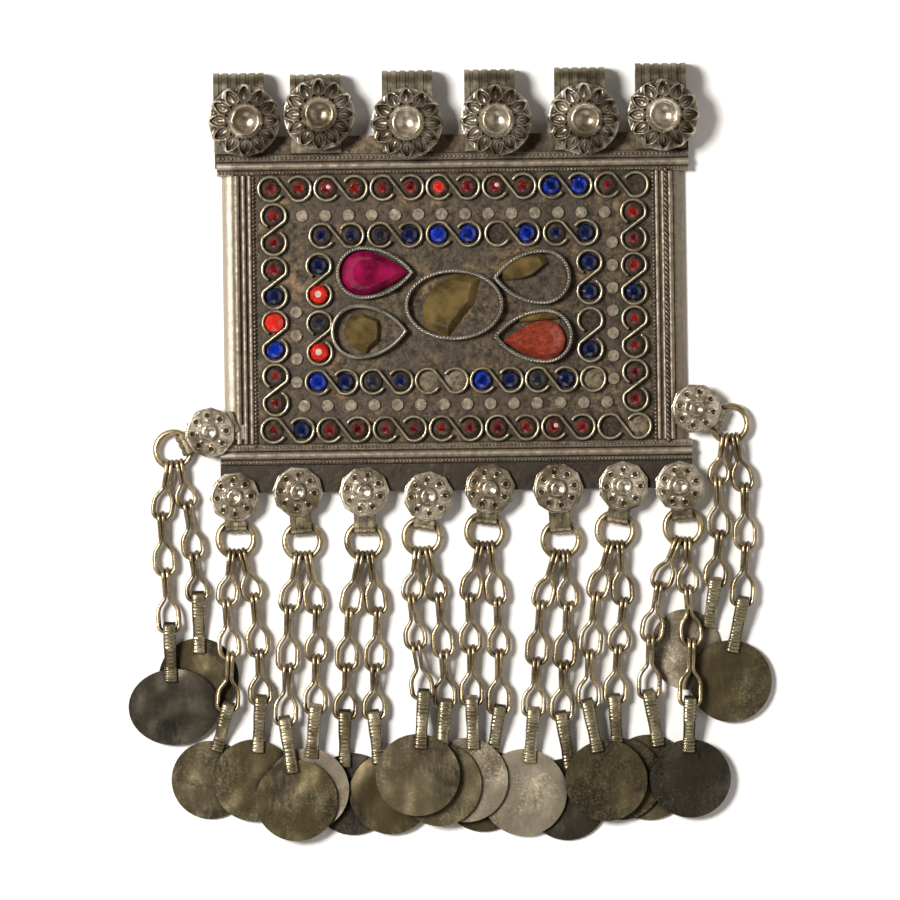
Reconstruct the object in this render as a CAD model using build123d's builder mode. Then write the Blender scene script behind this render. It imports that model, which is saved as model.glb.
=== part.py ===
from build123d import *
from math import atan2, cos, degrees, hypot, pi, radians, sin, sqrt, tan
import os

# A rectangular silver pendant, lying on its back. It has strap loops for a cord along its top edge,
# and chains with plain discs along its bottom edge and at its sides.
# The plate lies in X and Y with its face up (+Z) and its top edge towards +Y.
# Lengths are in millimetres. Until the last lines X and Y are measured from the plate's centre, and
# Z from the surface that everything lies on.

# Plate: a sheet on two rolled side edges
PLATE_WIDTH = 106.0
PLATE_HEIGHT = 80.0
SHEET_BASE = 1.0
SHEET_THICKNESS = 1.2
SIDE_INSET = 1.0
FACE = SHEET_BASE + SHEET_THICKNESS
BURIED = 0.3

# Borders, from the plate's edges inwards
TOP_MARGIN = 4.0
TOP_OUTER_BEADS = 1.8
TOP_RAIL = 1.8
TOP_INNER_BEADS = 1.2
BOTTOM_BAND = 6.1
BOTTOM_OUTER_BEADS = 1.3
BOTTOM_RAIL = 1.8
BOTTOM_INNER_BEADS = 1.8
RAIL_HEIGHT = 0.9
BEAD_STRIP_HEIGHT = 0.5
BAND_LIFT = 0.6
FLANGE_WIDTH = 2.6
WIDE_RIB = 1.4
NARROW_RIB = 0.7
RIB_GAP = 0.5
SIDE_BEADS = 1.1
SIDE_RIB_HEIGHT = 0.8

# Wire cells for the round stones
WIRE_WIDTH = 0.65
WIRE_HEIGHT = 1.2
CELL_RADIUS = 2.72
WIRE_START = 30.0
OUTER_WIDTH = 82.0
OUTER_HEIGHT = 54.2
OUTER_CENTRE_Y = 1.1
OUTER_ROW_COUNT = 14
OUTER_COLUMN_COUNT = 8
OUTER_COLUMN_SPAN = 42.0
OUTER_COLUMN_X = 40.4
INNER_TOP_Y = 17.6
INNER_BOTTOM_Y = -15.3
INNER_TOP_WIDTH = 59.2
INNER_TOP_COUNT = 10
INNER_BOTTOM_WIDTH = 61.8
INNER_BOTTOM_COUNT = 11
INNER_COLUMN_X = 30.4
INNER_COLUMN_COUNT = 4
INNER_COLUMN_SPAN = 19.5
INNER_COLUMN_Y = 1.1

# Flat studs in the lanes between the cells
STUD_DIAMETER = 2.6
STUD_HEIGHT = 0.5
STUD_TOP_Y = 22.1
STUD_BOTTOM_Y = -20.6
STUD_ROW_COUNT = 14
STUD_ROW_WIDTH = 68.0
STUD_COLUMN_X = 35.6
STUD_LEFT_COUNT = 4
STUD_LEFT_SPAN = 15.7
STUD_LEFT_Y = -7.4
STUD_RIGHT_COUNT = 7
STUD_RIGHT_SPAN = 30.6
STUD_RIGHT_Y = 0.0

# Round stones, cut with a table and eight facets
STONE_DIAMETER = 4.4
STONE_TABLE_SHARE = 0.5
STONE_GIRDLE = 0.5
STONE_HEIGHT = 1.1
STONE_GAP = 0.12
STONE_SIDES = 8
BRIGHT_STONE_HEIGHT = 1.9
BRIGHT_TABLE_SHARE = 0.62

# Bezels: outline, place, size and wall of the five raised settings
BEZEL_WALL = 0.7
BEZEL_HEIGHT = 2.2
BEZELS = [
    dict(name="centre", outline="oval", x=-0.1, y=1.7, length=22.1, width=15.9),
    dict(name="upper_left", outline="pear", x=-17.8, y=9.1, length=17.4, width=11.8),
    dict(name="lower_left", outline="pear", x=-19.3, y=-4.1, length=17.2, width=12.2),
    dict(name="upper_right", outline="pear_left", x=17.5, y=7.7, length=17.4, width=12.3),
    dict(name="lower_right", outline="pear_left", x=17.6, y=-5.6, length=17.8, width=12.1),
]

# Pear stones: cut stones that fill their bezel or lie in it
PEAR_SIDES = 14
PINK_LENGTH = 15.4
PINK_WIDTH = 10.1
PINK_HEIGHT = 2.6
RED_LENGTH = 14.0
RED_WIDTH = 9.0
RED_HEIGHT = 2.2
PEAR_GIRDLE = 0.8
PEAR_TABLE_SHARE = 0.62
PEAR_FULLNESS = 1.6

# Broken amber-coloured pieces: corners round each piece as angle and reach, in shares of its size
FLAKE_THICKNESS = 1.7
FLAKE_TOP_SHARE = 0.72
FLAKES = [
    dict(name="amber_flake_centre", x=-0.9, y=2.2, size=8.6, turn=-24.0, tilt=(-0.3, 0.3),
         corners=((20, 0.62), (62, 1.0), (105, 0.78), (150, 0.62), (205, 0.72), (248, 0.95), (290, 0.9),
                  (335, 0.5))),
    dict(name="amber_flake_left", x=-20.4, y=-4.3, size=5.0, turn=0.0, tilt=(0.4, 0.2),
         corners=((10, 0.72), (42, 0.9), (95, 0.88), (132, 0.98), (176, 0.92), (228, 0.82), (275, 0.98),
                  (325, 0.8))),
    dict(name="amber_flake_right", x=15.0, y=10.0, size=6.6, turn=8.0, tilt=(0.3, -0.5),
         corners=((2, 0.98), (28, 0.92), (88, 0.52), (150, 0.62), (180, 0.95), (212, 0.72), (262, 0.42),
                  (318, 0.5))),
]
FOIL_SCRAP = dict(x=18.9, y=-1.0, length=9.0, width=2.0, height=1.2, turn=4.0, bevel=0.4)

# Strap loops along the top edge: ribbed straps folded round the edge, each with a rosette on it
STRAP_WIDTH = 11.3
STRAP_THICKNESS = 0.8
STRAP_HEIGHT = 7.0
STRAP_GAP = 0.1
STRAP_FOOT = 3.2
STRAP_SETBACK = 0.6
STRAP_TUCK = 7.0
STRAP_RISE = 4.6
STRAP_BEND = 1.2
STRAP_RIBS = 6
STRAP_RIB_WIDTH = 1.2
STRAP_RIB_HEIGHT = 0.25
STRAP_RIB_START = 1.5
STRAP_RIB_ROUNDING = 0.912
ROSETTE_DIAMETER = 16.4
ROSETTE_RIM = 0.7
ROSETTE_CONE = 3.0
ROSETTE_RING_OUTER = 3.7
ROSETTE_RING_INNER = 2.5
ROSETTE_RING_HEIGHT = 4.3
ROSETTE_RING_FALL = 0.3
ROSETTE_DISH = 1.2
ROSETTE_RIM_SIDES = 12
PETALS = 12
PETAL_LENGTH = 3.9
PETAL_WIDTH = 2.9
PETAL_WALL = 0.4
PETAL_POINT_WALL = 0.8
PETAL_RELIEF = 0.4
STRAP_LOOPS = [
    dict(x=-47.8, reach=14.1, rosette_x=1.2, rosette_y=3.5, lean=(4.0, 5.0)),
    dict(x=-30.6, reach=13.6, rosette_x=0.8, rosette_y=4.6, lean=(0.0, 2.0)),
    dict(x=-10.0, reach=14.2, rosette_x=-0.1, rosette_y=2.4, lean=(0.0, -1.5)),
    dict(x=8.5, reach=14.2, rosette_x=1.4, rosette_y=2.8, lean=(1.0, 1.0)),
    dict(x=28.7, reach=14.4, rosette_x=0.8, rosette_y=2.9, lean=(5.0, 4.0)),
    dict(x=46.9, reach=15.1, rosette_x=0.4, rosette_y=3.6, lean=(3.0, 1.0)),
]

# Chain hangers: a strap eye that holds a jump ring, with a small dome on it
CHAIN_LEVEL = 1.9
HANGER_WIDTH = 4.8
HANGER_THICKNESS = 0.6
HANGER_RIB_WIDTH = 1.0
HANGER_RIB_HEIGHT = 0.2
HANGER_RIB_PITCH = 1.7
EYE_RADIUS = 1.0
EYE_PLAY = 0.1
HANGER_TUCK = 2.6
HANGER_GAP = 0.3
DOME_DIAMETER = 11.2
DOME_RIM = 0.5
DOME_HEIGHT = 3.7
DOME_BOSS_OUTER = 1.65
DOME_BOSS_INNER = 1.0
DOME_BOSS_RISE = 0.5
DOME_CIRCLES = 8
DOME_CIRCLE_OUTER = 0.9
DOME_CIRCLE_INNER = 0.5
DOME_CIRCLE_REACH = 3.7
DOME_RELIEF = 0.3
SEAT_SIZE = 3.2
SEAT_OVERLAP = 1.0

# Jump rings and links
RING_RADIUS = 4.0
RING_WIRE = 1.45
LINK_WIRE = 0.85
LINK_FOLD = 1.45
LINK_LAYER = 0.475
LINK_NECK = 0.5
LINK_TIGHT = 0.5
LINK_OPEN = 0.7
LINK_LOBES = (2.1, 2.2, 2.3)
LINK_SKEW = 0.1
LINK_LAST_BEND = 1.5
LINK_HOOK = 0.5
LINK_HOOK_RING = 1.3
LINK_NECK_SHARE = 0.42
LINK_SHOULDER = 2.3
LINK_BEND = 2.0
LINK_SHOULDER_BEND = 3.5
ROUNDING = 0.96

# Discs and their bails
DISC_THICKNESS = 0.8
DISC_LEVEL_GAP = 0.12
FLOOR_GAP = 0.05
BAIL_WIDTH = 2.6
BAIL_EYE = 1.75
BAIL_HOLE = 1.15
BAIL_EYE_RISE = 0.35
BAIL_STRAP = 0.6
BAIL_BACK = 2.6
BAIL_HOLLOW_END = 1.0
BAIL_RIB = 0.22
BAIL_RIB_PITCH = 0.8
BAIL_RIB_START = 1.3
BAIL_RIB_END = 0.4
BAIL_RIBS = 4

# Hangers: dome and ring places. A hanger at the bottom reaches under the plate, one at a side does not
HANGERS = [
    dict(dome=(-55.3, -26.3), ring=(-63.5, -30.1), side=-1),
    dict(dome=(-49.9, -40.9), ring=(-49.7, -50.3), side=0),
    dict(dome=(-35.7, -39.9), ring=(-34.8, -51.0), side=0),
    dict(dome=(-20.8, -40.1), ring=(-20.8, -51.1), side=0),
    dict(dome=(-6.4, -41.3), ring=(-7.9, -50.3), side=0),
    dict(dome=(7.4, -39.8), ring=(6.2, -49.3), side=0),
    dict(dome=(22.7, -39.9), ring=(23.3, -51.4), side=0),
    dict(dome=(37.4, -39.6), ring=(35.5, -49.5), side=0),
    dict(dome=(50.1, -39.7), ring=(50.8, -48.9), side=0),
    dict(dome=(54.0, -22.4), ring=(61.5, -25.8), side=1),
]

# Routes of the strands: the place on the jump ring, in degrees from its lowest point, and the three
# points where the next link or the bail hooks on, as X, Y and the height above the rings' level.
# "fold" says how wide each link's folded end is
TIGHT, OPEN = LINK_TIGHT, LINK_OPEN
STRANDS = [
    dict(name="01a", ring=1, hang=20, fold=(TIGHT, OPEN, OPEN),
         route=((-60.4, -43.0, 0.0), (-59.2, -54.5, 0.0), (-58.4, -63.9, 0.0))),
    dict(name="01b", ring=1, hang=-17, fold=(TIGHT, TIGHT, TIGHT),
         route=((-66.5, -45.6, 0.0), (-65.7, -58.2, 0.0), (-64.9, -70.8, 0.8))),
    dict(name="02a", ring=2, hang=-17, fold=(TIGHT, TIGHT, TIGHT),
         route=((-52.1, -65.1, 0.4), (-51.4, -77.1, 1.0), (-52.2, -88.8, 1.0))),
    dict(name="02b", ring=2, hang=20, fold=(TIGHT, TIGHT, TIGHT),
         route=((-45.8, -64.1, 0.0), (-44.9, -76.7, 0.0), (-44.7, -87.3, 0.2))),
    dict(name="03a", ring=3, hang=-18, fold=(TIGHT, TIGHT, OPEN),
         route=((-38.2, -66.7, 0.0), (-38.6, -79.9, 0.3), (-39.2, -92.1, 0.9))),
    dict(name="03b", ring=3, hang=18, fold=(TIGHT, TIGHT, TIGHT),
         route=((-31.8, -67.0, 0.0), (-32.1, -78.0, 0.0), (-32.5, -89.5, 0.4))),
    dict(name="04a", ring=4, hang=-18, fold=(TIGHT, TIGHT, TIGHT),
         route=((-24.6, -67.5, 0.0), (-25.3, -80.1, 0.0), (-25.8, -90.9, 0.0))),
    dict(name="04b", ring=4, hang=17, fold=(TIGHT, TIGHT, OPEN),
         route=((-18.1, -67.6, 0.0), (-18.9, -80.2, 0.0), (-19.3, -91.0, 0.2))),
    dict(name="05a", ring=5, hang=-18, fold=(TIGHT, TIGHT, OPEN),
         route=((-10.5, -64.6, 0.4), (-9.5, -75.4, 1.1), (-8.1, -86.4, 2.0))),
    dict(name="05b", ring=5, hang=19, fold=(TIGHT, TIGHT, OPEN),
         route=((-4.3, -64.6, 0.0), (-3.4, -77.3, 0.0), (-3.2, -88.7, 0.0))),
    dict(name="06a", ring=6, hang=-19, fold=(TIGHT, TIGHT, TIGHT),
         route=((2.4, -64.7, 0.0), (2.7, -76.4, 0.0), (2.7, -88.1, 0.3))),
    dict(name="06b", ring=6, hang=17, fold=(TIGHT, TIGHT, TIGHT),
         route=((8.8, -65.7, 0.0), (9.0, -77.4, 0.0), (8.8, -90.2, 0.0))),
    dict(name="07a", ring=7, hang=-21, fold=(TIGHT, TIGHT, TIGHT),
         route=((18.4, -66.5, 0.0), (17.3, -79.3, 0.0), (16.5, -90.8, 0.2))),
    dict(name="07b", ring=7, hang=14, fold=(TIGHT, OPEN, OPEN),
         route=((24.7, -66.8, 0.0), (23.5, -80.1, 0.0), (22.9, -91.8, 0.0))),
    dict(name="08a", ring=8, hang=-21, fold=(TIGHT, TIGHT, TIGHT),
         route=((30.8, -64.6, 0.0), (29.3, -77.7, 0.4), (28.9, -89.1, 1.0))),
    dict(name="08b", ring=8, hang=14, fold=(TIGHT, TIGHT, TIGHT),
         route=((37.1, -66.1, 0.0), (35.7, -76.6, 0.0), (34.8, -88.1, 0.2))),
    dict(name="09a", ring=9, hang=-24, fold=(TIGHT, TIGHT, TIGHT),
         route=((45.0, -62.6, 0.4), (43.0, -74.5, 1.0), (42.6, -87.1, 1.0))),
    dict(name="09b", ring=9, hang=12, fold=(TIGHT, TIGHT, TIGHT),
         route=((51.6, -63.6, 0.4), (52.2, -75.5, 1.1), (51.7, -88.8, 1.8))),
    dict(name="10a", ring=10, hang=-19, fold=(TIGHT, TIGHT, TIGHT),
         route=((58.6, -39.3, 0.0), (58.8, -51.3, 0.0), (57.6, -62.2, 0.0))),
    dict(name="10b", ring=10, hang=18, fold=(TIGHT, TIGHT, TIGHT),
         route=((64.7, -40.8, 0.0), (64.7, -54.0, 0.0), (63.7, -66.6, 0.2))),
]

# Discs: centre, width, height, the point where the bail's tongue ends on it, and the layer that it lies
# in, counted up from the surface
DISCS = {
    "01a": dict(centre=(-58.6, -81.5), width=18.0, height=18.0, grip=(-58.4, -75.9), layer=0),
    "01b": dict(centre=(-64.2, -87.9), width=20.4, height=17.1, grip=(-64.8, -82.3), layer=1),
    "02a": dict(centre=(-56.2, -104.4), width=17.6, height=17.6, grip=(-54.8, -98.0), layer=0),
    "02b": dict(centre=(-46.5, -104.6), width=18.4, height=18.4, grip=(-45.5, -98.4), layer=1),
    "03a": dict(centre=(-36.9, -109.2), width=18.4, height=18.2, grip=(-37.7, -103.0), layer=3),
    "03b": dict(centre=(-34.4, -106.8), width=18.6, height=18.6, grip=(-33.5, -99.7), layer=2),
    "04a": dict(centre=(-24.3, -108.0), width=18.4, height=18.4, grip=(-26.0, -102.0), layer=0),
    "04b": dict(centre=(-15.7, -107.9), width=18.7, height=18.4, grip=(-18.3, -101.2), layer=1),
    "05a": dict(centre=(-9.6, -103.7), width=18.9, height=18.4, grip=(-8.9, -97.8), layer=5),
    "05b": dict(centre=(-4.7, -106.0), width=18.7, height=18.7, grip=(-4.2, -99.2), layer=3),
    "06a": dict(centre=(1.3, -105.1), width=18.7, height=18.9, grip=(2.9, -98.2), layer=2),
    "06b": dict(centre=(5.0, -107.5), width=18.7, height=18.7, grip=(7.2, -99.8), layer=0),
    "07a": dict(centre=(14.2, -108.1), width=19.3, height=19.5, grip=(15.5, -101.4), layer=1),
    "07b": dict(centre=(23.9, -109.8), width=18.4, height=18.4, grip=(24.7, -103.0), layer=0),
    "08a": dict(centre=(32.7, -105.6), width=18.4, height=18.2, grip=(30.9, -99.2), layer=3),
    "08b": dict(centre=(36.1, -105.4), width=18.4, height=18.4, grip=(35.3, -99.0), layer=1),
    "09a": dict(centre=(42.3, -105.1), width=19.2, height=19.2, grip=(44.6, -98.2), layer=0),
    "09b": dict(centre=(51.6, -105.4), width=18.2, height=17.6, grip=(51.3, -99.6), layer=2),
    "10a": dict(centre=(50.9, -76.4), width=15.8, height=18.0, grip=(56.2, -71.6), layer=0),
    "10b": dict(centre=(61.0, -83.7), width=18.4, height=18.4, grip=(61.4, -77.2), layer=1),
}

# Seats without a stone, counted from the left or from the top
EMPTY_SEATS = {
    "outer_top": (13,),
    "outer_bottom": (12, 13),
    "inner_top": (6,),
    "inner_bottom": (4, 5, 10),
    "inner_right": (2,),
}
BRIGHT_SEATS = {
    "outer_left": (4,),
    "inner_left": (1, 3),
}

def spread(count, span):
    """Evenly spaced places round zero, from minus half the span to plus half of it."""
    return [span * (i / (count - 1) - 0.5) for i in range(count)]


def seat_rows():
    """Each row of wire cells: its name, whether it runs along X, and its cell centres."""
    outer_top = OUTER_CENTRE_Y + OUTER_HEIGHT / 2
    outer_bottom = OUTER_CENTRE_Y - OUTER_HEIGHT / 2
    outer_x = spread(OUTER_ROW_COUNT, OUTER_WIDTH)
    outer_y = [OUTER_CENTRE_Y - y for y in spread(OUTER_COLUMN_COUNT, OUTER_COLUMN_SPAN)]
    inner_top_x = spread(INNER_TOP_COUNT, INNER_TOP_WIDTH)
    inner_bottom_x = spread(INNER_BOTTOM_COUNT, INNER_BOTTOM_WIDTH)
    inner_y = [INNER_COLUMN_Y - y for y in spread(INNER_COLUMN_COUNT, INNER_COLUMN_SPAN)]
    return [
        ("outer_top", True, [(x, outer_top) for x in outer_x]),
        ("outer_bottom", True, [(x, outer_bottom) for x in outer_x]),
        ("outer_left", False, [(-OUTER_COLUMN_X, y) for y in outer_y]),
        ("outer_right", False, [(OUTER_COLUMN_X, y) for y in outer_y]),
        ("inner_top", True, [(x, INNER_TOP_Y) for x in inner_top_x]),
        ("inner_bottom", True, [(x, INNER_BOTTOM_Y) for x in inner_bottom_x]),
        ("inner_left", False, [(-INNER_COLUMN_X, y) for y in inner_y]),
        ("inner_right", False, [(INNER_COLUMN_X, y) for y in inner_y]),
    ]


def stud_places():
    """Centres of the flat studs, in two rows and two columns."""
    places = []
    for x in spread(STUD_ROW_COUNT, STUD_ROW_WIDTH):
        places += [(x, STUD_TOP_Y), (x, STUD_BOTTOM_Y)]
    places += [(-STUD_COLUMN_X, STUD_LEFT_Y + y) for y in spread(STUD_LEFT_COUNT, STUD_LEFT_SPAN)]
    places += [(STUD_COLUMN_X, STUD_RIGHT_Y + y) for y in spread(STUD_RIGHT_COUNT, STUD_RIGHT_SPAN)]
    return places


def round_bar(x, y, length, width, height, along_x):
    """Profile plane and size of a bar with a round top that lies on the face, as one solid."""
    if along_x:
        start = Plane(origin=(x - length / 2, y, FACE), x_dir=(0, 1, 0), z_dir=(1, 0, 0))
    else:
        start = Plane(origin=(x, y + length / 2, FACE), x_dir=(1, 0, 0), z_dir=(0, -1, 0))
    with BuildPart() as bar:
        with BuildSketch(start):
            with BuildLine():
                Polyline((-width / 2, 0), (-width / 2, -BURIED), (width / 2, -BURIED), (width / 2, 0))
                ThreePointArc((width / 2, 0), (0, height), (-width / 2, 0))
            make_face()
        extrude(amount=length)
    return bar.part


def s_wire(pitch):
    """Plan of one bent wire that makes two neighbouring cells, like a figure of eight left open."""
    cross = degrees(atan2(2 * CELL_RADIUS, sqrt(pitch**2 - 4 * CELL_RADIUS**2)))
    touch = 90 - cross
    with BuildSketch() as wire:
        with BuildLine():
            right = CenterArc((pitch / 2, 0), CELL_RADIUS, 180 - WIRE_START, -(270 + touch - WIRE_START))
            left = CenterArc((-pitch / 2, 0), CELL_RADIUS, -WIRE_START, -(270 + touch - WIRE_START))
            Line(right @ 1, left @ 1)
        trace(line_width=WIRE_WIDTH)
    return wire.sketch


def pear_plan(outline, length, width):
    """Plan of a pear-shaped bezel, whose point is at the right or at the left."""
    flip = -1 if outline == "pear_left" else 1
    round_end = flip * (width - length) / 2
    tip = flip * length / 2
    with BuildSketch() as plan:
        with BuildLine():
            ThreePointArc((round_end, width / 2), (-tip, 0), (round_end, -width / 2))
            TangentArc((round_end, -width / 2), (tip, 0), tangent=(flip, 0))
            TangentArc((round_end, width / 2), (tip, 0), tangent=(flip, 0))
        make_face()
    return plan.sketch


def top_rows():
    """Y of the middle of each strip along the top and the bottom edge, with its width and height."""
    y = PLATE_HEIGHT / 2 - TOP_MARGIN
    rows = []
    for width, height in ((TOP_OUTER_BEADS, BEAD_STRIP_HEIGHT), (TOP_RAIL, RAIL_HEIGHT),
                          (TOP_INNER_BEADS, BEAD_STRIP_HEIGHT)):
        rows.append((y - width / 2, width, height))
        y -= width
    top_end = y
    y = -PLATE_HEIGHT / 2 + BOTTOM_BAND
    for width, height in ((BOTTOM_OUTER_BEADS, BEAD_STRIP_HEIGHT), (BOTTOM_RAIL, RAIL_HEIGHT),
                          (BOTTOM_INNER_BEADS, BEAD_STRIP_HEIGHT)):
        rows.append((y + width / 2, width, height))
        y += width
    return rows, top_end, y


def side_ribs():
    """X of the middle of each rib along the left and the right edge, with its width and height."""
    ribs = []
    x = PLATE_WIDTH / 2 - SIDE_INSET - FLANGE_WIDTH
    for width, height in ((WIDE_RIB, SIDE_RIB_HEIGHT), (NARROW_RIB, SIDE_RIB_HEIGHT),
                          (SIDE_BEADS, BEAD_STRIP_HEIGHT)):
        ribs += [(x - width / 2, width, height), (width / 2 - x, width, height)]
        x -= width + RIB_GAP
    return ribs


def make_plate():
    rows, top_end, bottom_end = top_rows()
    middle_width = PLATE_WIDTH - 2 * SIDE_INSET
    lip_outer = FACE
    lip_inner = SHEET_BASE
    with BuildPart() as plate:
        # The sheet is full width along the rails, and narrower between them, where its sides roll down
        with BuildSketch(Plane.XY.offset(SHEET_BASE)):
            Rectangle(middle_width - 2 * lip_outer, PLATE_HEIGHT)
            with Locations((0, (PLATE_HEIGHT / 2 + top_end) / 2)):
                Rectangle(PLATE_WIDTH, PLATE_HEIGHT / 2 - top_end)
            with Locations((0, (bottom_end - PLATE_HEIGHT / 2) / 2)):
                Rectangle(PLATE_WIDTH, bottom_end + PLATE_HEIGHT / 2)
        extrude(amount=SHEET_THICKNESS)
        for side in (-1, 1):
            centre = side * (middle_width / 2 - lip_outer)
            with BuildSketch(Plane(origin=(centre, top_end, 0), x_dir=(side, 0, 0), z_dir=(0, -side, 0))):
                with BuildLine():
                    CenterArc((0, 0), lip_outer, 0, 90)
                    Line((0, lip_outer), (0, lip_inner))
                    CenterArc((0, 0), lip_inner, 0, 90)
                    Line((lip_inner, 0), (lip_outer, 0))
                make_face()
            extrude(amount=side * (top_end - bottom_end))
        # The raised band along the bottom edge, and a seat at each side for a dome
        with BuildSketch(Plane.XY.offset(FACE - BURIED)):
            with Locations((0, (BOTTOM_BAND - PLATE_HEIGHT) / 2)):
                Rectangle(PLATE_WIDTH, BOTTOM_BAND)
            for hanger in HANGERS:
                if hanger["side"]:
                    with Locations((hanger["side"] * (middle_width / 2 - lip_outer - SEAT_SIZE / 4),
                                    hanger["dome"][1])):
                        Rectangle(SEAT_SIZE, SEAT_SIZE)
        extrude(amount=BAND_LIFT + BURIED)
        for y, width, height in rows:
            add(round_bar(0, y, PLATE_WIDTH, width, height, True))
        for x, width, height in side_ribs():
            add(round_bar(x, (top_end + bottom_end) / 2, top_end - bottom_end, width, height, False))
        # Wire cells, two to each bent wire, and a plain ring where a row has an odd one left
        with BuildSketch(Plane.XY.offset(FACE - BURIED)):
            for name, along_x, centres in seat_rows():
                pitch = hypot(centres[1][0] - centres[0][0], centres[1][1] - centres[0][1])
                wire = s_wire(pitch)
                turn = 0 if along_x else 90
                for first, second in zip(centres[0::2], centres[1::2]):
                    middle = ((first[0] + second[0]) / 2, (first[1] + second[1]) / 2)
                    with Locations(Location((*middle, 0), (0, 0, turn))):
                        add(wire)
                if len(centres) % 2:
                    with Locations(centres[-1]):
                        Circle(CELL_RADIUS + WIRE_WIDTH / 2)
                        Circle(CELL_RADIUS - WIRE_WIDTH / 2, mode=Mode.SUBTRACT)
        extrude(amount=WIRE_HEIGHT + BURIED)
        with BuildSketch(Plane.XY.offset(FACE - BURIED)):
            with Locations(stud_places()):
                Circle(STUD_DIAMETER / 2)
        extrude(amount=STUD_HEIGHT + BURIED)
        for bezel in BEZELS:
            with BuildSketch(Plane.XY.offset(FACE - BURIED)):
                with Locations((bezel["x"], bezel["y"])):
                    if bezel["outline"] == "oval":
                        Ellipse(bezel["length"] / 2, bezel["width"] / 2)
                        Ellipse(bezel["length"] / 2 - BEZEL_WALL, bezel["width"] / 2 - BEZEL_WALL,
                                mode=Mode.SUBTRACT)
                    else:
                        add(pear_plan(bezel["outline"], bezel["length"], bezel["width"]))
                        offset(amount=-BEZEL_WALL, kind=Kind.ARC, mode=Mode.SUBTRACT)
            extrude(amount=BEZEL_HEIGHT + BURIED)
    return plate


def cut_stone(outline, girdle, height, table_share, base):
    """A cut stone: a flat base, an upright girdle, sloping facets and a table on top."""
    with BuildPart() as stone:
        with BuildSketch(Plane.XY.offset(base)):
            Polygon(*outline, align=None)
        extrude(amount=girdle)
        with BuildSketch(Plane.XY.offset(base + girdle)):
            Polygon(*outline, align=None)
        with BuildSketch(Plane.XY.offset(base + height)):
            Polygon(*[(x * table_share, y * table_share) for x, y in outline], align=None)
        loft(ruled=True)
    return stone.part


def round_outline(diameter, sides):
    turn = pi / sides
    return [(diameter / 2 * cos(2 * pi * i / sides + turn), diameter / 2 * sin(2 * pi * i / sides + turn))
            for i in range(sides)]


def pear_outline(length, width, sides, flip):
    """Corners round a pear, as many as the stone has facets. Its point is at the right unless flipped."""
    round_end = (width - length) / 2
    corners = []
    half = sides // 2
    for i in range(half + 1):
        angle = pi * (i / half)
        if angle <= pi / 2:
            share = 1 - angle / (pi / 2)
            x = round_end + share * (length / 2 - round_end)
            y = width / 2 * (1 - share**PEAR_FULLNESS)
        else:
            x = round_end + width / 2 * cos(angle)
            y = width / 2 * sin(angle)
        corners.append((flip * x, y))
    lower = [(x, -y) for x, y in corners[1:-1]]
    return corners + lower[::-1]


def make_stones(prefix):
    """The round stones of one rectangle of cells, each a small solid of its own."""
    plain = cut_stone(round_outline(STONE_DIAMETER, STONE_SIDES), STONE_GIRDLE, STONE_HEIGHT,
                      STONE_TABLE_SHARE, FACE + STONE_GAP)
    bright = cut_stone(round_outline(STONE_DIAMETER, STONE_SIDES), STONE_GIRDLE, BRIGHT_STONE_HEIGHT,
                       BRIGHT_TABLE_SHARE, FACE + STONE_GAP)
    with BuildPart() as stones:
        for name, along_x, centres in seat_rows():
            if not name.startswith(prefix):
                continue
            for k, centre in enumerate(centres):
                if k in EMPTY_SEATS.get(name, ()):
                    continue
                with Locations(centre):
                    add(bright if k in BRIGHT_SEATS.get(name, ()) else plain)
    return stones


def make_pear(bezel_name, length, width, height, shift):
    bezel = next(b for b in BEZELS if b["name"] == bezel_name)
    flip = -1 if bezel["outline"] == "pear_left" else 1
    outline = pear_outline(length, width, PEAR_SIDES, flip)
    with BuildPart() as pear:
        with Locations((bezel["x"] + shift[0], bezel["y"] + shift[1])):
            add(cut_stone(outline, PEAR_GIRDLE, height, PEAR_TABLE_SHARE, FACE + STONE_GAP))
    return pear


def make_flake(flake):
    """A broken piece with a smaller, shifted top, so that its sides slope unevenly."""
    corners = [(flake["size"] * reach * cos(radians(angle)), flake["size"] * reach * sin(radians(angle)))
               for angle, reach in flake["corners"]]
    top = [(x * FLAKE_TOP_SHARE + flake["tilt"][0], y * FLAKE_TOP_SHARE + flake["tilt"][1])
           for x, y in corners]
    with BuildPart() as shape:
        with BuildSketch(Plane.XY):
            Polygon(*corners, align=None)
        with BuildSketch(Plane.XY.offset(FLAKE_THICKNESS)):
            Polygon(*top, align=None)
        loft(ruled=True)
    with BuildPart() as piece:
        with Locations(Location((flake["x"], flake["y"], FACE + STONE_GAP), (0, 0, flake["turn"]))):
            add(shape.part)
    return piece


def make_foil_scrap():
    """A narrow broken strip that stands behind the red stone."""
    with BuildPart() as scrap:
        with Locations(Location((FOIL_SCRAP["x"], FOIL_SCRAP["y"], FACE + STONE_GAP),
                                (0, 0, FOIL_SCRAP["turn"]))):
            Box(FOIL_SCRAP["length"], FOIL_SCRAP["width"], FOIL_SCRAP["height"],
                align=(Align.CENTER, Align.CENTER, Align.MIN))
        chamfer(scrap.edges().group_by(Axis.Z)[-1], FOIL_SCRAP["bevel"])
    return scrap


def cone_outline(lift):
    """Half of a rosette's section, without its relief, raised by the lift."""
    rim = ROSETTE_DIAMETER / 2
    return ((0, 0), (rim, 0), (rim, ROSETTE_RIM + lift), (ROSETTE_RING_OUTER, ROSETTE_CONE + lift),
            (0, ROSETTE_CONE + lift))


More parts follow.
